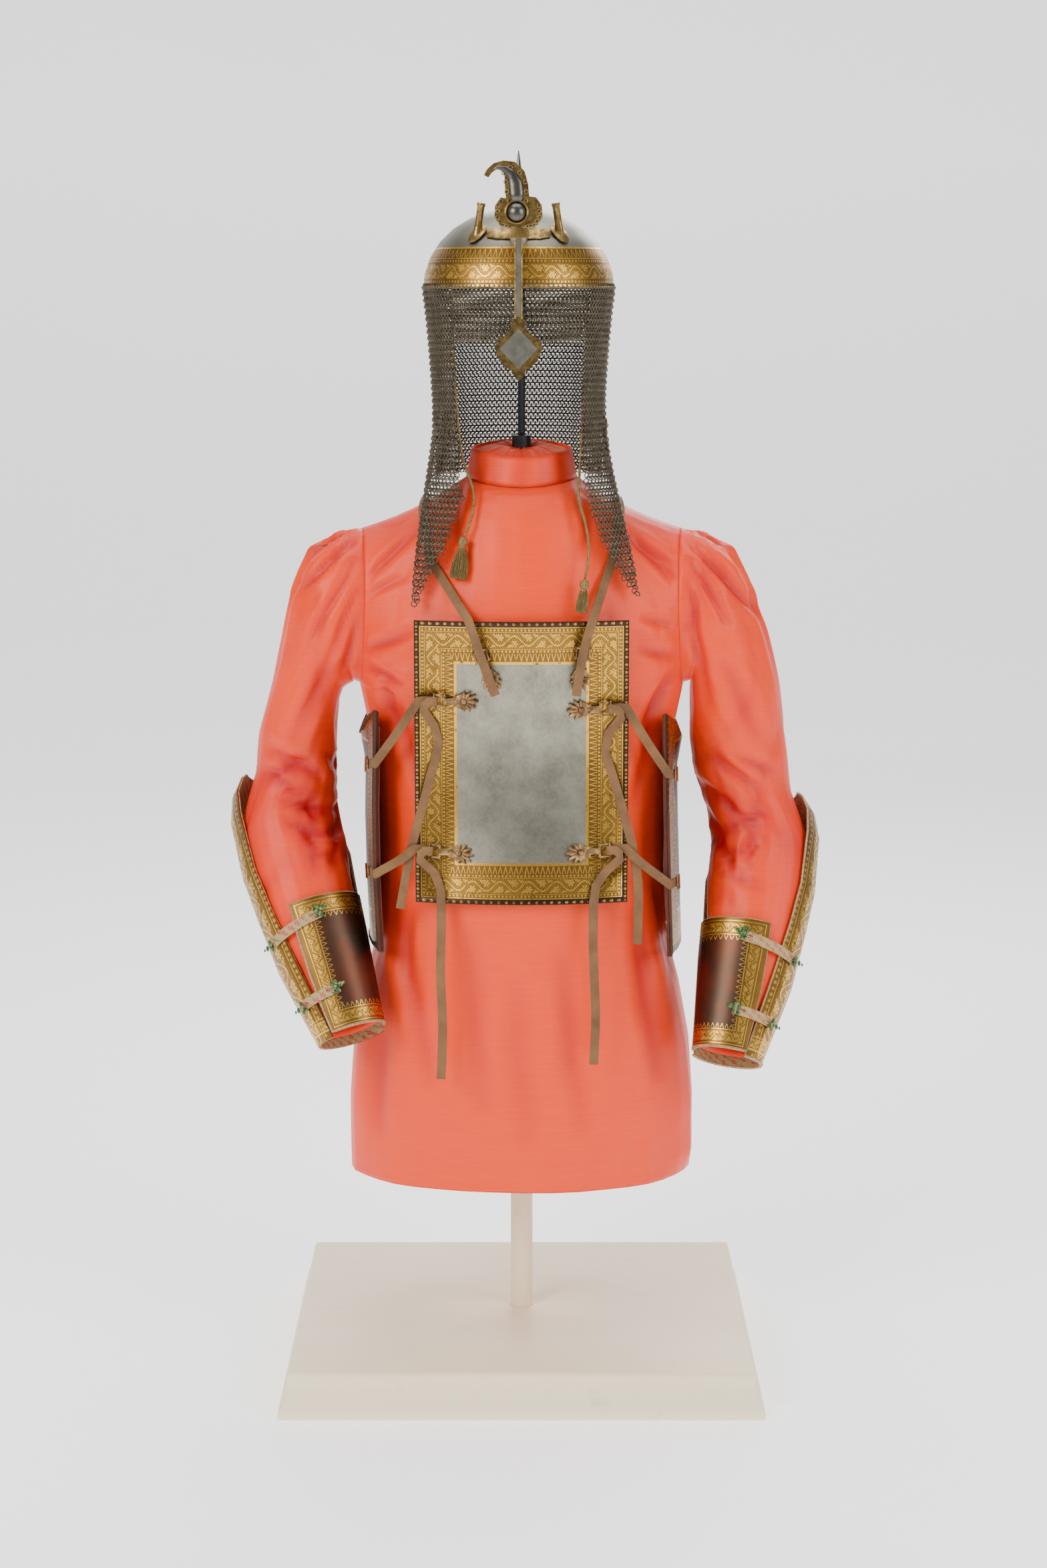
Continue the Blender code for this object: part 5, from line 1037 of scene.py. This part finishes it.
NASAL_LEAF = (
    # half width, height
    (5.0, 1154.0), (9.0, 1149.5), (7.0, 1145.0), (12.0, 1139.0), (20.0, 1134.0), (25.0, 1125.0),
    (20.0, 1113.0), (12.0, 1104.0), (7.0, 1101.0), (5.0, 1096.0), (0.0, 1091.0),
)
FINIAL_EDGE = ((12.0, 1246.4), (19.0, 1248.0), (24.5, 1256.0), (24.0, 1268.0), (18.0, 1276.0))
BOTEH_LINE = (
    # across, height, half width
    (-1.0, 1271.0, 6.0), (-2.0, 1280.0, 7.6), (-3.0, 1290.0, 7.4), (-7.0, 1299.0, 5.6), (-14.0, 1304.5, 3.4),
    (-22.0, 1306.0, 1.8), (-28.0, 1303.0, 1.0),
)


def raised_leaf(name, line, rise, finish, body="nasal"):
    """A domed strip on the nose bar's front, along (across, height, half width) rows."""
    shape = bmesh.new()
    ring_before = None
    for index, (x, z, half) in enumerate(line):
        before, after = line[max(index - 1, 0)], line[min(index + 1, len(line) - 1)]
        along = Vector((after[0] - before[0], 0.0, after[1] - before[1])).normalized()
        across = Vector((along.z, 0.0, -along.x))
        place = Vector(leaning(x, z, -0.4))
        ring = []
        for turn in turns(14):
            lift = max(math.sin(turn), -0.15) * rise * min(half / 4.0, 1.0)
            ring.append(shape.verts.new((place + across * half * math.cos(turn) + Vector((0.0, -lift, 0.0))) * MM))
        edges = [shape.edges.new((ring[step], ring[(step + 1) % 14])) for step in range(14)]
        if ring_before:
            bmesh.ops.bridge_loops(shape, edges=ring_before + edges)
        else:
            shape.faces.new(ring)
        ring_before = edges
    shape.faces.new(ring)
    bmesh.ops.recalc_face_normals(shape, faces=shape.faces)
    return own_piece(name, shape, finish, body)


def nasal_details(steel, gold):
    """Bosses, wires and pierced dots on the nose bar."""
    raised_leaf("nasal_boteh_boss", BOTEH_LINE, 3.2, steel)
    forward = Vector((0.0, -1.0, 0.12))
    turned_piece("nasal_boss", ((0.0, 6.6), (4.0, 6.0), (8.0, 3.6), (10.2, 0.4), (10.2, -0.6), (0.0, -0.6)),
                 leaning(-2.0, 1261.0, 0.0), forward, steel, "nasal")
    turned_piece("nasal_boss_ring", [(11.4 + 1.3 * math.cos(a), 0.6 + 1.3 * math.sin(a)) for a in (*turns(8), 0.0)],
                 leaning(-2.0, 1261.0, 0.0), forward, gold, "nasal")
    for side in (-1.0, 1.0):
        rod_along("nasal_edge_" + ("left" if side < 0.0 else "right"),
                  [leaning(side * 3.5, z, 0.2) for z in (1154.0, 1185.0, 1215.0, 1246.0)], 0.7, gold, "nasal")
    dark = black_finish()
    places = []
    for (half, z), (next_half, next_z) in zip(NASAL_LEAF, NASAL_LEAF[1:]):
        for part in (0.25, 0.75):
            x = half + (next_half - half) * part - 2.0
            if x > 1.5:
                height = z + (next_z - z) * part
                places += [(leaning(side * x, height, 0.0), forward) for side in (-1.0, 1.0)]
    scallops = []
    for (half, z), (next_half, next_z) in zip(FINIAL_EDGE, FINIAL_EDGE[1:]):
        for part in (0.0, 0.5):
            x = half + (next_half - half) * part - 3.0
            scallops += [(leaning(side * x, z + (next_z - z) * part, 0.0), forward) for side in (-1.0, 1.0)]
    for x, z, half in BOTEH_LINE[:5]:
        for side in (-1.0, 1.0):
            scallops.append((leaning(x + side * (half + 2.4), z + 1.5, 0.0), forward))
    beads("nasal_pierced_dots", places + scallops, 0.95, dark, "nasal", 0.12)
    wire_rings("nasal_scallop_rings", scallops, 2.0, 0.6, gold, "nasal")


def buckle_details(brass):
    """A raised heart with a fan of long lobes on each front buckle's palmette."""
    for name, x, z, turn in FRONT_BUCKLES:
        way = Vector((math.cos(math.radians(turn)), math.sin(math.radians(turn))))
        cross = Vector((-way.y, way.x))
        heart = Vector((x, z)) - way * 25.5
        shape = bmesh.new()
        for angle, reach, half_length, half_width, rise in BUCKLE_LOBES:
            for side in ((-1.0, 1.0) if 0.0 < angle < 180.0 else (1.0,)):
                bend = math.radians(angle) * side
                aim = cross * math.sin(bend) - way * math.cos(bend)
                spot = heart + aim * reach
                turn = Matrix(((aim.x, -aim.y, 0.0, 0.0), (0.0, 0.0, -1.0, 0.0), (aim.y, aim.x, 0.0, 0.0),
                               (0.0, 0.0, 0.0, 1.0)))
                place = Matrix.Translation(Vector(plate_front(spot.x, spot.y, 2.4)) * MM)
                bmesh.ops.create_uvsphere(shape, u_segments=12, v_segments=8, radius=MM, matrix=place @ turn
                                          @ Matrix.Diagonal((half_length, half_width, rise, 1.0)))
        own_piece(name + "_relief", shape, brass, "suit")


BUCKLE_LOBES = (
    # angle from the tip in degrees, reach from the heart, half length, half width, rise
    (0.0, 9.6, 6.4, 2.1, 1.7), (27.0, 9.0, 5.8, 1.9, 1.6), (55.0, 7.8, 5.0, 1.8, 1.5), (88.0, 6.6, 4.2, 1.7, 1.4),
    (0.0, 0.0, 3.6, 3.2, 2.6), (180.0, 7.0, 3.6, 2.0, 1.8), (152.0, 9.2, 2.6, 1.3, 1.2), (180.0, 14.0, 3.0, 1.5, 1.4),
)
FRONT_BUCKLES = (
    # name, frame x, frame z, angle from leaf to frame in degrees
    ("buckle_top_left", -42.0, 808.0, 112.0),
    ("buckle_top_right", 64.0, 811.0, 84.0),
    ("buckle_upper_left", -86.0, 760.0, 180.0),
    ("buckle_upper_right", 88.0, 752.0, 2.0),
    ("buckle_lower_left", -92.0, 600.0, 176.0),
    ("buckle_lower_right", 88.0, 601.0, 4.0),
)


def strap_loops(brass):
    """A wire loop round each strap where it passes its buckle's frame."""
    for name, x, z, turn in FRONT_BUCKLES:
        way = Vector((math.cos(math.radians(turn)), math.sin(math.radians(turn))))
        cross = Vector((-way.y, way.x))
        for index, (along, half, out) in enumerate(STRAP_LOOPS):
            corners = []
            for across, lift in ((-half, 1.2), (-half, out), (0.0, out + 0.6), (half, out), (half, 1.2)):
                spot = Vector((x, z)) + way * along + cross * across
                corners.append(plate_front(spot.x, spot.y, lift))
            rod_along(name + "_loop_" + str(index), corners, 1.0, brass, sides=8)


STRAP_LOOPS = (
    # along the buckle from the middle of its frame, half width, height off the plate
    (-5.5, 7.8, 4.6), (5.5, 7.8, 7.4),
)


def guard_hooks(side_name, enamel, brass):
    """A small green palmette with a hook at each end of a guard's brocade straps."""
    for level in ("upper", "lower"):
        shape = merged_copy("guard_strap_" + level + "_" + side_name)
        corners = [corner.co.copy() for corner in shape.verts]
        shape.free()
        middle = sum(corners, Vector()) / len(corners)
        first = max(corners, key=lambda corner: (corner - middle).length)
        last = max(corners, key=lambda corner: (corner - first).length)
        for end, name in ((first, "a"), (last, "b")):
            near = [corner for corner in corners if (corner - end).length < 0.0135]
            place = sum(near, Vector()) / len(near)
            away = (place - middle).normalized()
            facing = (place - arm_middle(place, side_name)).normalized()
            across = facing.cross(away)
            petals_at = [(2.0, 0.0, 4.2), (7.4, 0.0, 3.2), (2.4, 5.6, 2.8), (2.4, -5.6, 2.8), (-2.4, 4.4, 2.2),
                         (-2.4, -4.4, 2.2), (11.4, 0.0, 1.9)]
            spots = [((place + away * a * MM + across * c * MM + facing * 0.0012) / MM, size)
                     for a, c, size in petals_at]
            clasp = bmesh.new()
            turn = facing.to_track_quat("Z", "Y").to_matrix().to_4x4()
            for spot, size in spots:
                bmesh.ops.create_uvsphere(clasp, u_segments=10, v_segments=6, radius=size * MM,
                                          matrix=Matrix.Translation(spot * MM) @ turn @ Matrix.Diagonal((1, 1, 0.4, 1)))
            own_piece("guard_clasp_" + level + "_" + name + "_" + side_name, clasp, enamel, "suit")
            hook = [place + away * along * MM + facing * lift * MM
                    for along, lift in ((-3.0, 1.8), (-6.0, 4.0), (-9.0, 3.8), (-9.8, 1.8), (-7.4, 1.0))]
            rod_along("guard_hook_" + level + "_" + name + "_" + side_name, [spot / MM for spot in hook], 0.7, brass)


# Straps, cords and edges

def edge_loop(node):
    """The longest loop of sharp edges on a node's mesh, as places in millimetres."""
    shape = merged_copy(node)
    sharp = {edge for edge in shape.edges if len(edge.link_faces) == 2 and edge.calc_face_angle() > 1.0}
    loops = []
    while sharp:
        edge = sharp.pop()
        chain = [edge.verts[0], edge.verts[1]]
        while True:
            after = next((e for e in chain[-1].link_edges if e in sharp), None)
            if after is None:
                break
            sharp.discard(after)
            chain.append(after.other_vert(chain[-1]))
        loops.append([corner.co / MM for corner in chain])
    shape.free()
    return max(loops, key=lambda loop: sum((b - a).length for a, b in zip(loop, loop[1:])))


def curve_value(table, position, column):
    """Read a smooth value from a table of rows at any position along its first column."""
    index = max(i for i, row in enumerate(table[:-1]) if row[0] <= position)
    low, high = table[index], table[index + 1]
    before = table[max(index - 1, 0)]
    after = table[min(index + 2, len(table) - 1)]
    span = high[0] - low[0]
    t = (position - low[0]) / span
    slope_low = (high[column] - before[column]) / (high[0] - before[0]) * span
    slope_high = (after[column] - low[column]) / (after[0] - low[0]) * span
    start_pull = (2 * t**3 - 3 * t**2 + 1) * low[column] + (t**3 - 2 * t**2 + t) * slope_low
    return start_pull + (3 * t**2 - 2 * t**3) * high[column] + (t**3 - t**2) * slope_high


def route_points(points, count):
    """Evenly spaced places on a smooth curve through a cord's points."""
    marks = [0.0]
    for first, second in zip(points, points[1:]):
        marks.append(marks[-1] + (Vector(second) - Vector(first)).length)
    table = [(mark, *point) for mark, point in zip(marks, points)]
    dense = []
    for step in range(count * 8 + 1):
        position = marks[-1] * step / (count * 8)
        dense.append(Vector([curve_value(table, position, axis) for axis in (1, 2, 3)]))
    lengths = [0.0]
    for first, second in zip(dense, dense[1:]):
        lengths.append(lengths[-1] + (second - first).length)
    route = []
    index = 0
    for step in range(count):
        goal = lengths[-1] * step / (count - 1)
        while index < len(dense) - 2 and lengths[index + 1] <= goal:
            index += 1
        span = lengths[index + 1] - lengths[index]
        route.append(dense[index].lerp(dense[index + 1], (goal - lengths[index]) / span))
    return route


CORD_ROUTES = {
    "left": ((-72.0, -66.0, 1179.0), (-71.0, -58.0, 1120.0), (-68.0, -54.0, 1060.0), (-62.0, -58.0, 1010.0),
             (-50.0, -78.0, 975.0), (-52.0, -92.0, 950.0), (-60.0, -101.7, 931.0)),
    "right": ((68.0, -66.0, 1179.0), (68.0, -57.0, 1120.0), (65.0, -54.0, 1060.0), (62.0, -60.0, 1010.0),
              (60.0, -82.0, 970.0), (67.0, -97.0, 942.0), (70.0, -111.0, 915.0), (66.0, -119.0, 888.0)),
}
CORD_RADIUS = 1.6
TASSEL_DROPS = {"left": (-6.0, -6.2, -44.0), "right": (-4.0, -7.0, -34.0)}


def twisted_cord(side_name, finish):
    """A cord of three twisted strands along its route."""
    route = route_points(CORD_ROUTES[side_name], 90)
    shape = bmesh.new()
    ring_before = None
    sides = 12
    for index, place in enumerate(route):
        along = (route[min(index + 1, 89)] - route[max(index - 1, 0)]).normalized()
        side_way = along.cross(Vector((0.0, 1.0, 0.0))).normalized()
        front = along.cross(side_way)
        ring = []
        for step in range(sides):
            angle = 2.0 * math.pi * step / sides
            lobe = CORD_RADIUS * (0.86 + 0.14 * math.cos(3.0 * angle + 1.25 * index))
            spoke = side_way * math.cos(angle) + front * math.sin(angle)
            ring.append(shape.verts.new((place + spoke * lobe) * MM))
        edges = [shape.edges.new((ring[step], ring[(step + 1) % sides])) for step in range(sides)]
        if ring_before:
            bmesh.ops.bridge_loops(shape, edges=ring_before + edges)
        else:
            shape.faces.new(ring)
        ring_before = edges
    shape.faces.new(ring)
    bmesh.ops.recalc_face_normals(shape, faces=shape.faces)
    piece = own_piece("tie_cord_" + side_name + "_twist", shape, finish, "suit", "tie_cord_" + side_name)
    return piece, route


def soft_tassel(side_name, finish):
    """A bound head with a skirt of hanging threads."""
    top = Vector(CORD_ROUTES[side_name][-1])
    drop = Vector(TASSEL_DROPS[side_name])
    along = drop.normalized()
    side_way = along.orthogonal().normalized()
    front = along.cross(side_way)
    shape = bmesh.new()
    profile = ((0.6, 0.4), (3.4, 1.4), (4.7, 4.0), (5.0, 7.0), (4.4, 9.0), (3.0, 10.0), (3.1, 11.0), (4.0, 12.5),
               (3.6, 14.0), (0.3, 15.0))
    corners = [shape.verts.new((radius * MM, 0.0, -height * MM)) for radius, height in profile]
    edges = [shape.edges.new(pair) for pair in zip(corners, corners[1:])]
    bmesh.ops.spin(shape, geom=corners + edges, axis=(0.0, 0.0, 1.0), angle=2.0 * math.pi, steps=20, use_merge=True)
    turn = (-along).to_track_quat("Z", "Y").to_matrix().to_4x4()
    bmesh.ops.transform(shape, matrix=Matrix.Translation(top * MM) @ turn, verts=shape.verts)
    threads = 150
    flare = {"left": 9.5, "right": 6.0}[side_name]
    for index in range(threads):
        angle = index * 2.39996
        spread = math.sqrt((index + 0.5) / threads)
        start = top + along * 12.5 + (side_way * math.cos(angle) + front * math.sin(angle)) * 3.6 * spread
        reach = drop.length - 12.5 - 2.5 * noise.noise(Vector((index * 0.7, 0.0, 0.0))) ** 2
        wander = Vector((noise.noise(Vector((index, 3.1, 0.0))), noise.noise(Vector((index, 7.7, 0.0))), 0.0))
        spoke = (side_way * math.cos(angle) + front * math.sin(angle)) * flare * spread
        end = top + along * (12.5 + reach) + spoke + wander * 2.2
        middle = start.lerp(end, 0.5) + spoke * 0.22 + wander * 1.6
        ring_before = None
        for share, place in ((0.0, start), (0.5, middle), (1.0, end)):
            size = 0.48 - 0.16 * share
            ring = [shape.verts.new((place + (side_way * math.cos(a) + front * math.sin(a)) * size) * MM)
                    for a in (0.0, 2.0944, 4.18879)]
            edges = [shape.edges.new((ring[step], ring[(step + 1) % 3])) for step in range(3)]
            if ring_before:
                bmesh.ops.bridge_loops(shape, edges=ring_before + edges)
            else:
                shape.faces.new(ring)
            ring_before = edges
        shape.faces.new(ring)
    bmesh.ops.recalc_face_normals(shape, faces=shape.faces)
    return own_piece("tassel_" + side_name + "_threads", shape, finish, "suit", "tassel_" + side_name)


# Operators

class ARMOUR_OT_stand(bpy.types.Operator):
    """Paint the stand and cover its form"""

    bl_idname = "armour.stand"
    bl_label = "Stand"

    def execute(self, context):
        paint = paint_finish()
        rounded_node("stand_base", paint, width=0.0012, segments=3)
        dress(paint, "stand_post")
        dress(black_finish(), "neck_rod")
        form = smooth_node("torso_form", calico_finish())
        return {"FINISHED"}


class ARMOUR_OT_silk(bpy.types.Operator):
    """Make the creased silk tunic, sleeves and collar"""

    bl_idname = "armour.silk"
    bl_label = "Silk"

    def execute(self, context):
        cloth = context.scene.armour_cloth
        silk = silk_finish(cloth)
        for node, area in (("tunic_front", 0.343), ("tunic_back", 0.335)):
            creased_cloth(node, silk, tunic_crease, lambda place: Vector((0.0, 0.0, place.z)), 5)
        for _, side_name in SIDES:
            area = {"left": 0.163, "right": 0.176}[side_name]
            creased_cloth("sleeve_" + side_name, silk, lambda place, name=side_name: sleeve_crease(place, name),
                          lambda place, name=side_name: arm_middle(place, name), 5)
        for node, flat, area in (("collar", (0.38, 0.034), 0.0122), ("collar_top", (0.19, 0.052), 0.0092)):
            creased_cloth(node, silk, collar_crease, lambda place: Vector((0.0, 0.0, place.z)), 2)
        return {"FINISHED"}


class ARMOUR_OT_helmet(bpy.types.Operator):
    """Finish the helmet, its nose bar, bracket, spike and plume tubes"""

    bl_idname = "armour.helmet"
    bl_label = "Helmet"

    def execute(self, context):
        metals = context.scene.armour_metal
        steel, gold = steel_finish(metals), gilt_finish(metals)
        smooth_node("helmet_bowl", helmet_finish(metals))
        smooth_node("helmet_spike", steel)
        dress(nasal_finish(metals), "nasal")
        for node in ("nasal_bracket", "plume_holder_left", "plume_holder_right"):
            rounded_node(node, gold)
        nasal_details(steel, gold)
        rim = [(HELMET_X + 102.0 * math.sin(a), -102.0 * math.cos(a), RIM_Z + 0.8) for a in turns(72)]
        rod_along("bowl_rim_wire", rim, 1.0, gold, closed=True)
        return {"FINISHED"}


class ARMOUR_OT_mail(bpy.types.Operator):
    """Link the mail curtain out of rings"""

    bl_idname = "armour.mail"
    bl_label = "Mail"

    def execute(self, context):
        metals = context.scene.armour_metal
        iron = ring_finish(metals)
        brow, fall, inner = math.radians(46.0), math.radians(102.0), math.radians(15.0)
        mail_rings("mail_brow", metals, iron, -brow, brow, 1128.0, 0.0)
        mail_rings("mail_back", metals, iron, fall, 2.0 * math.pi - fall, 984.0, 0.0)
        mail_rings("mail_fall_right", metals, iron, inner, fall, 858.0, 0.0)
        mail_rings("mail_fall_left", metals, iron, -fall, -inner, 846.0, 0.0)
        return {"FINISHED"}


class ARMOUR_OT_plates(bpy.types.Operator):
    """Finish the four body plates and their lining"""

    bl_idname = "armour.plates"
    bl_label = "Body plates"

    def execute(self, context):
        metals, trim = context.scene.armour_metal, context.scene.armour_trim
        tint = (1.35, 1.35, 1.28)
        smooth_node("front_plate", plate_finish(metals, "front plate steel", 0, 0.0, PLATE_HALF, PLATE_BOTTOM,
                                                PLATE_TOP, 17.0, tint))
        smooth_node("back_plate", plate_finish(metals, "back plate steel", 0, 0.0, 105.0, 548.0, 838.0, 16.0, tint))
        # The side plates' steel is tinted dark red: a painted reflection of the orange silk sleeves beside them.
        side_steel_painted_reflection = plate_finish(metals, "side plate steel with painted reflection", 1, 0.0, 95.0, 482.0, 745.0, 12.0, (0.50, 0.24, 0.18))
        for node in ("side_plate_left", "side_plate_right"):
            smooth_node(node, side_steel_painted_reflection)
        red = suede_finish(trim, "red leather lining", (0.75, 0.12, 0.12))
        binding = suede_finish(trim, "edge binding", (0.42, 0.20, 0.16))
        for _, side_name in SIDES:
            rod_along("side_binding_" + side_name, edge_loop("side_plate_" + side_name), 1.7, binding, sides=8)
            laid_lining("side_lining_" + side_name, red)
        gold = gilt_finish(metals, "gold beads")
        places = []
        for x, z in rim_walk(PLATE_HALF - 2.5, PLATE_BOTTOM + 2.5, PLATE_TOP - 2.5, 8.0):
            places.append((plate_front(x, z, 1.2), (0.28 * x / PLATE_HALF, -1.0, 0.0)))
        beads("front_plate_beads", places, 1.3, gold)
        return {"FINISHED"}


class ARMOUR_OT_straps(bpy.types.Operator):
    """Finish the leather straps, palmette buckles and keepers"""

    bl_idname = "armour.straps"
    bl_label = "Straps and buckles"

    def execute(self, context):
        metals, trim = context.scene.armour_metal, context.scene.armour_trim
        suede = suede_finish(trim)
        brass = buckle_finish(metals)
        for _, side_name in SIDES:
            for node in ("strap_upper_", "strap_lower_", "shoulder_strap_", "strap_back_upper_", "strap_back_lower_"):
                smooth_node(node + side_name, suede, sharp=50.0)
            for node in ("buckle_top_", "buckle_upper_", "buckle_lower_"):
                rounded_node(node + side_name, brass, width=0.0006)
            for node in ("keeper_upper_", "keeper_lower_"):
                rounded_node(node + side_name, brass)
        buckle_details(brass)
        strap_loops(brass)
        return {"FINISHED"}


class ARMOUR_OT_guards(bpy.types.Operator):
    """Finish the arm guards, with their braid, brocade and clasps"""

    bl_idname = "armour.guards"
    bl_label = "Arm guards"

    def execute(self, context):
        metals, trim = context.scene.armour_metal, context.scene.armour_trim
        braid = thread_finish(trim, "gold braid", (0.50, 0.33, 0.12), (0.20, 0.11, 0.10))
        flowered = brocade_finish(trim, "flowered lining", 11.0, (0.45, 0.03, 0.03))
        pink = brocade_finish(trim, "brocade straps", 12.0, (0.50, 0.04, 0.06))
        enamel, brass = enamel_finish(), buckle_finish(metals)
        for _, side_name in SIDES:
            smooth_node("guard_outer_" + side_name, guard_finish(metals, side_name))
            smooth_node("guard_inner_" + side_name, inner_guard_finish(metals, side_name))
            guard_hooks(side_name, enamel, brass)
            laid_lining("guard_lining_" + side_name, flowered)
            for level in ("upper_", "lower_"):
                smooth_node("guard_strap_" + level + side_name, pink, sharp=50.0)
            for plate in ("outer", "inner"):
                loop = edge_loop("guard_" + plate + "_" + side_name)
                rod_along("braid_" + plate + "_" + side_name, loop, 1.5, braid, sides=8)
        return {"FINISHED"}


class ARMOUR_OT_cords(bpy.types.Operator):
    """Twist the tie cords and hang their tassels"""

    bl_idname = "armour.cords"
    bl_label = "Cords and tassels"

    def execute(self, context):
        trim = context.scene.armour_trim
        thread = thread_finish(trim, "olive gold thread", trim.cord[:], tuple(0.4 * c for c in trim.cord))
        for _, side_name in SIDES:
            cord, route = twisted_cord(side_name, thread)
            tassel = soft_tassel(side_name, thread)
        return {"FINISHED"}


STAGE_LIGHTS = (
    # name, place, size, power, tint
    ("window left", (-2.2, -2.4, 2.4), (1.6, 1.6), 108.0, (1.0, 0.98, 0.95)),
    ("window right", (2.4, -1.8, 1.9), (1.4, 1.8), 58.0, (0.96, 0.98, 1.0)),
    ("from above", (0.0, 0.2, 3.2), (2.2, 2.2), 66.0, (1.0, 1.0, 1.0)),
    ("behind", (0.6, 2.2, 2.2), (2.0, 1.2), 38.0, (1.0, 1.0, 1.0)),
)


class ARMOUR_OT_stage(bpy.types.Operator):
    """Lay the paper, place the lights and the camera"""

    bl_idname = "armour.stage"
    bl_label = "Stage"

    def execute(self, context):
        settings = context.scene.armour_stage
        nodes = Sockets("studio paper", 0.9)
        nodes.colour(settings.paper[:])
        nodes.shader.inputs["Emission Color"].default_value = (1.0, 1.0, 1.0, 1.0)
        nodes.shader.inputs["Emission Strength"].default_value = 0.85
        shape = bmesh.new()
        front, fold, back, half, high = -4.5, 4.2, 5.8, 6.0, 5.5
        profile = [(front, 0.0), (fold, 0.0)]
        profile += [(fold + (back - fold) * math.sin(t), (back - fold) * (1.0 - math.cos(t)))
                    for t in (0.26, 0.52, 0.79, 1.05, 1.31, 1.57)]
        profile.append((back, high))
        corners = [shape.verts.new((-half, y, z)) for y, z in profile]
        edges = [shape.edges.new(pair) for pair in zip(corners, corners[1:])]
        swept = bmesh.ops.extrude_edge_only(shape, edges=edges)
        moved = [item for item in swept["geom"] if isinstance(item, bmesh.types.BMVert)]
        bmesh.ops.translate(shape, verts=moved, vec=(2.0 * half, 0.0, 0.0))
        mesh = bpy.data.meshes.new("studio_paper")
        shape.to_mesh(mesh)
        shape.free()
        mesh.materials.append(nodes.material)
        mesh.shade_smooth()
        paper = bpy.data.objects.new("studio_paper", mesh)
        context.scene.collection.objects.link(paper)
        for name, place, size, power, tint in STAGE_LIGHTS:
            light = bpy.data.lights.new(name, "AREA")
            light.shape = "RECTANGLE"
            light.size, light.size_y = size
            light.energy = power
            light.color = tint
            lamp = bpy.data.objects.new(name, light)
            lamp.location = place
            aim = Vector((0.0, 0.0, 0.75)) - Vector(place)
            lamp.rotation_euler = aim.to_track_quat("-Z", "Y").to_euler()
            context.scene.collection.objects.link(lamp)
        world = bpy.data.worlds.new("soft room")
        world.use_nodes = True
        world.node_tree.nodes["Background"].inputs[0].default_value = (0.86, 0.88, 0.92, 1.0)
        world.node_tree.nodes["Background"].inputs[1].default_value = 0.36
        context.scene.world = world
        film = bpy.data.cameras.new("view")
        film.lens = settings.lens
        film.sensor_width = 36.0
        film.sensor_fit = "AUTO"
        film.clip_end = 50.0
        camera = bpy.data.objects.new("view", film)
        camera.location = (0.0021, -2.883, 1.179)
        camera.rotation_euler = (math.radians(90.0) - settings.tilt, 0.0, 0.0)
        context.scene.collection.objects.link(camera)
        context.scene.camera = camera
        return {"FINISHED"}


class ARMOUR_PT_panel(bpy.types.Panel):
    """Lists the suit's settings and the steps that dress it"""

    bl_idname = "ARMOUR_PT_panel"
    bl_label = "Suit of armour"
    bl_space_type = "VIEW_3D"
    bl_region_type = "UI"
    bl_category = "Armour"

    def draw(self, context):
        for name in SETTINGS:
            box = self.layout.box()
            settings = getattr(context.scene, name)
            for prop in settings.bl_rna.properties.keys():
                if prop not in ("rna_type", "name"):
                    box.prop(settings, prop)
        for step in STEPS:
            self.layout.operator(step.bl_idname)


SETTINGS = {
    "armour_cloth": ClothSettings,
    "armour_metal": MetalSettings,
    "armour_trim": TrimSettings,
    "armour_stage": StageSettings,
}
STEPS = (ARMOUR_OT_stand, ARMOUR_OT_silk, ARMOUR_OT_helmet, ARMOUR_OT_mail, ARMOUR_OT_plates, ARMOUR_OT_straps,
         ARMOUR_OT_guards, ARMOUR_OT_cords, ARMOUR_OT_stage)


def register():
    for settings in SETTINGS.values():
        bpy.utils.register_class(settings)
    for name, settings in SETTINGS.items():
        setattr(bpy.types.Scene, name, bpy.props.PointerProperty(type=settings))
    for step in (*STEPS, ARMOUR_PT_panel):
        bpy.utils.register_class(step)


def unregister():
    for step in (*STEPS, ARMOUR_PT_panel):
        bpy.utils.unregister_class(step)
    for name, settings in SETTINGS.items():
        delattr(bpy.types.Scene, name)
        bpy.utils.unregister_class(settings)


def main():
    register()
    bpy.ops.armour.stand()
    bpy.ops.armour.silk()
    bpy.ops.armour.helmet()
    bpy.ops.armour.mail()
    bpy.ops.armour.plates()
    bpy.ops.armour.straps()
    bpy.ops.armour.guards()
    bpy.ops.armour.cords()
    bpy.ops.armour.stage()


if __name__ == "__main__":
    main()
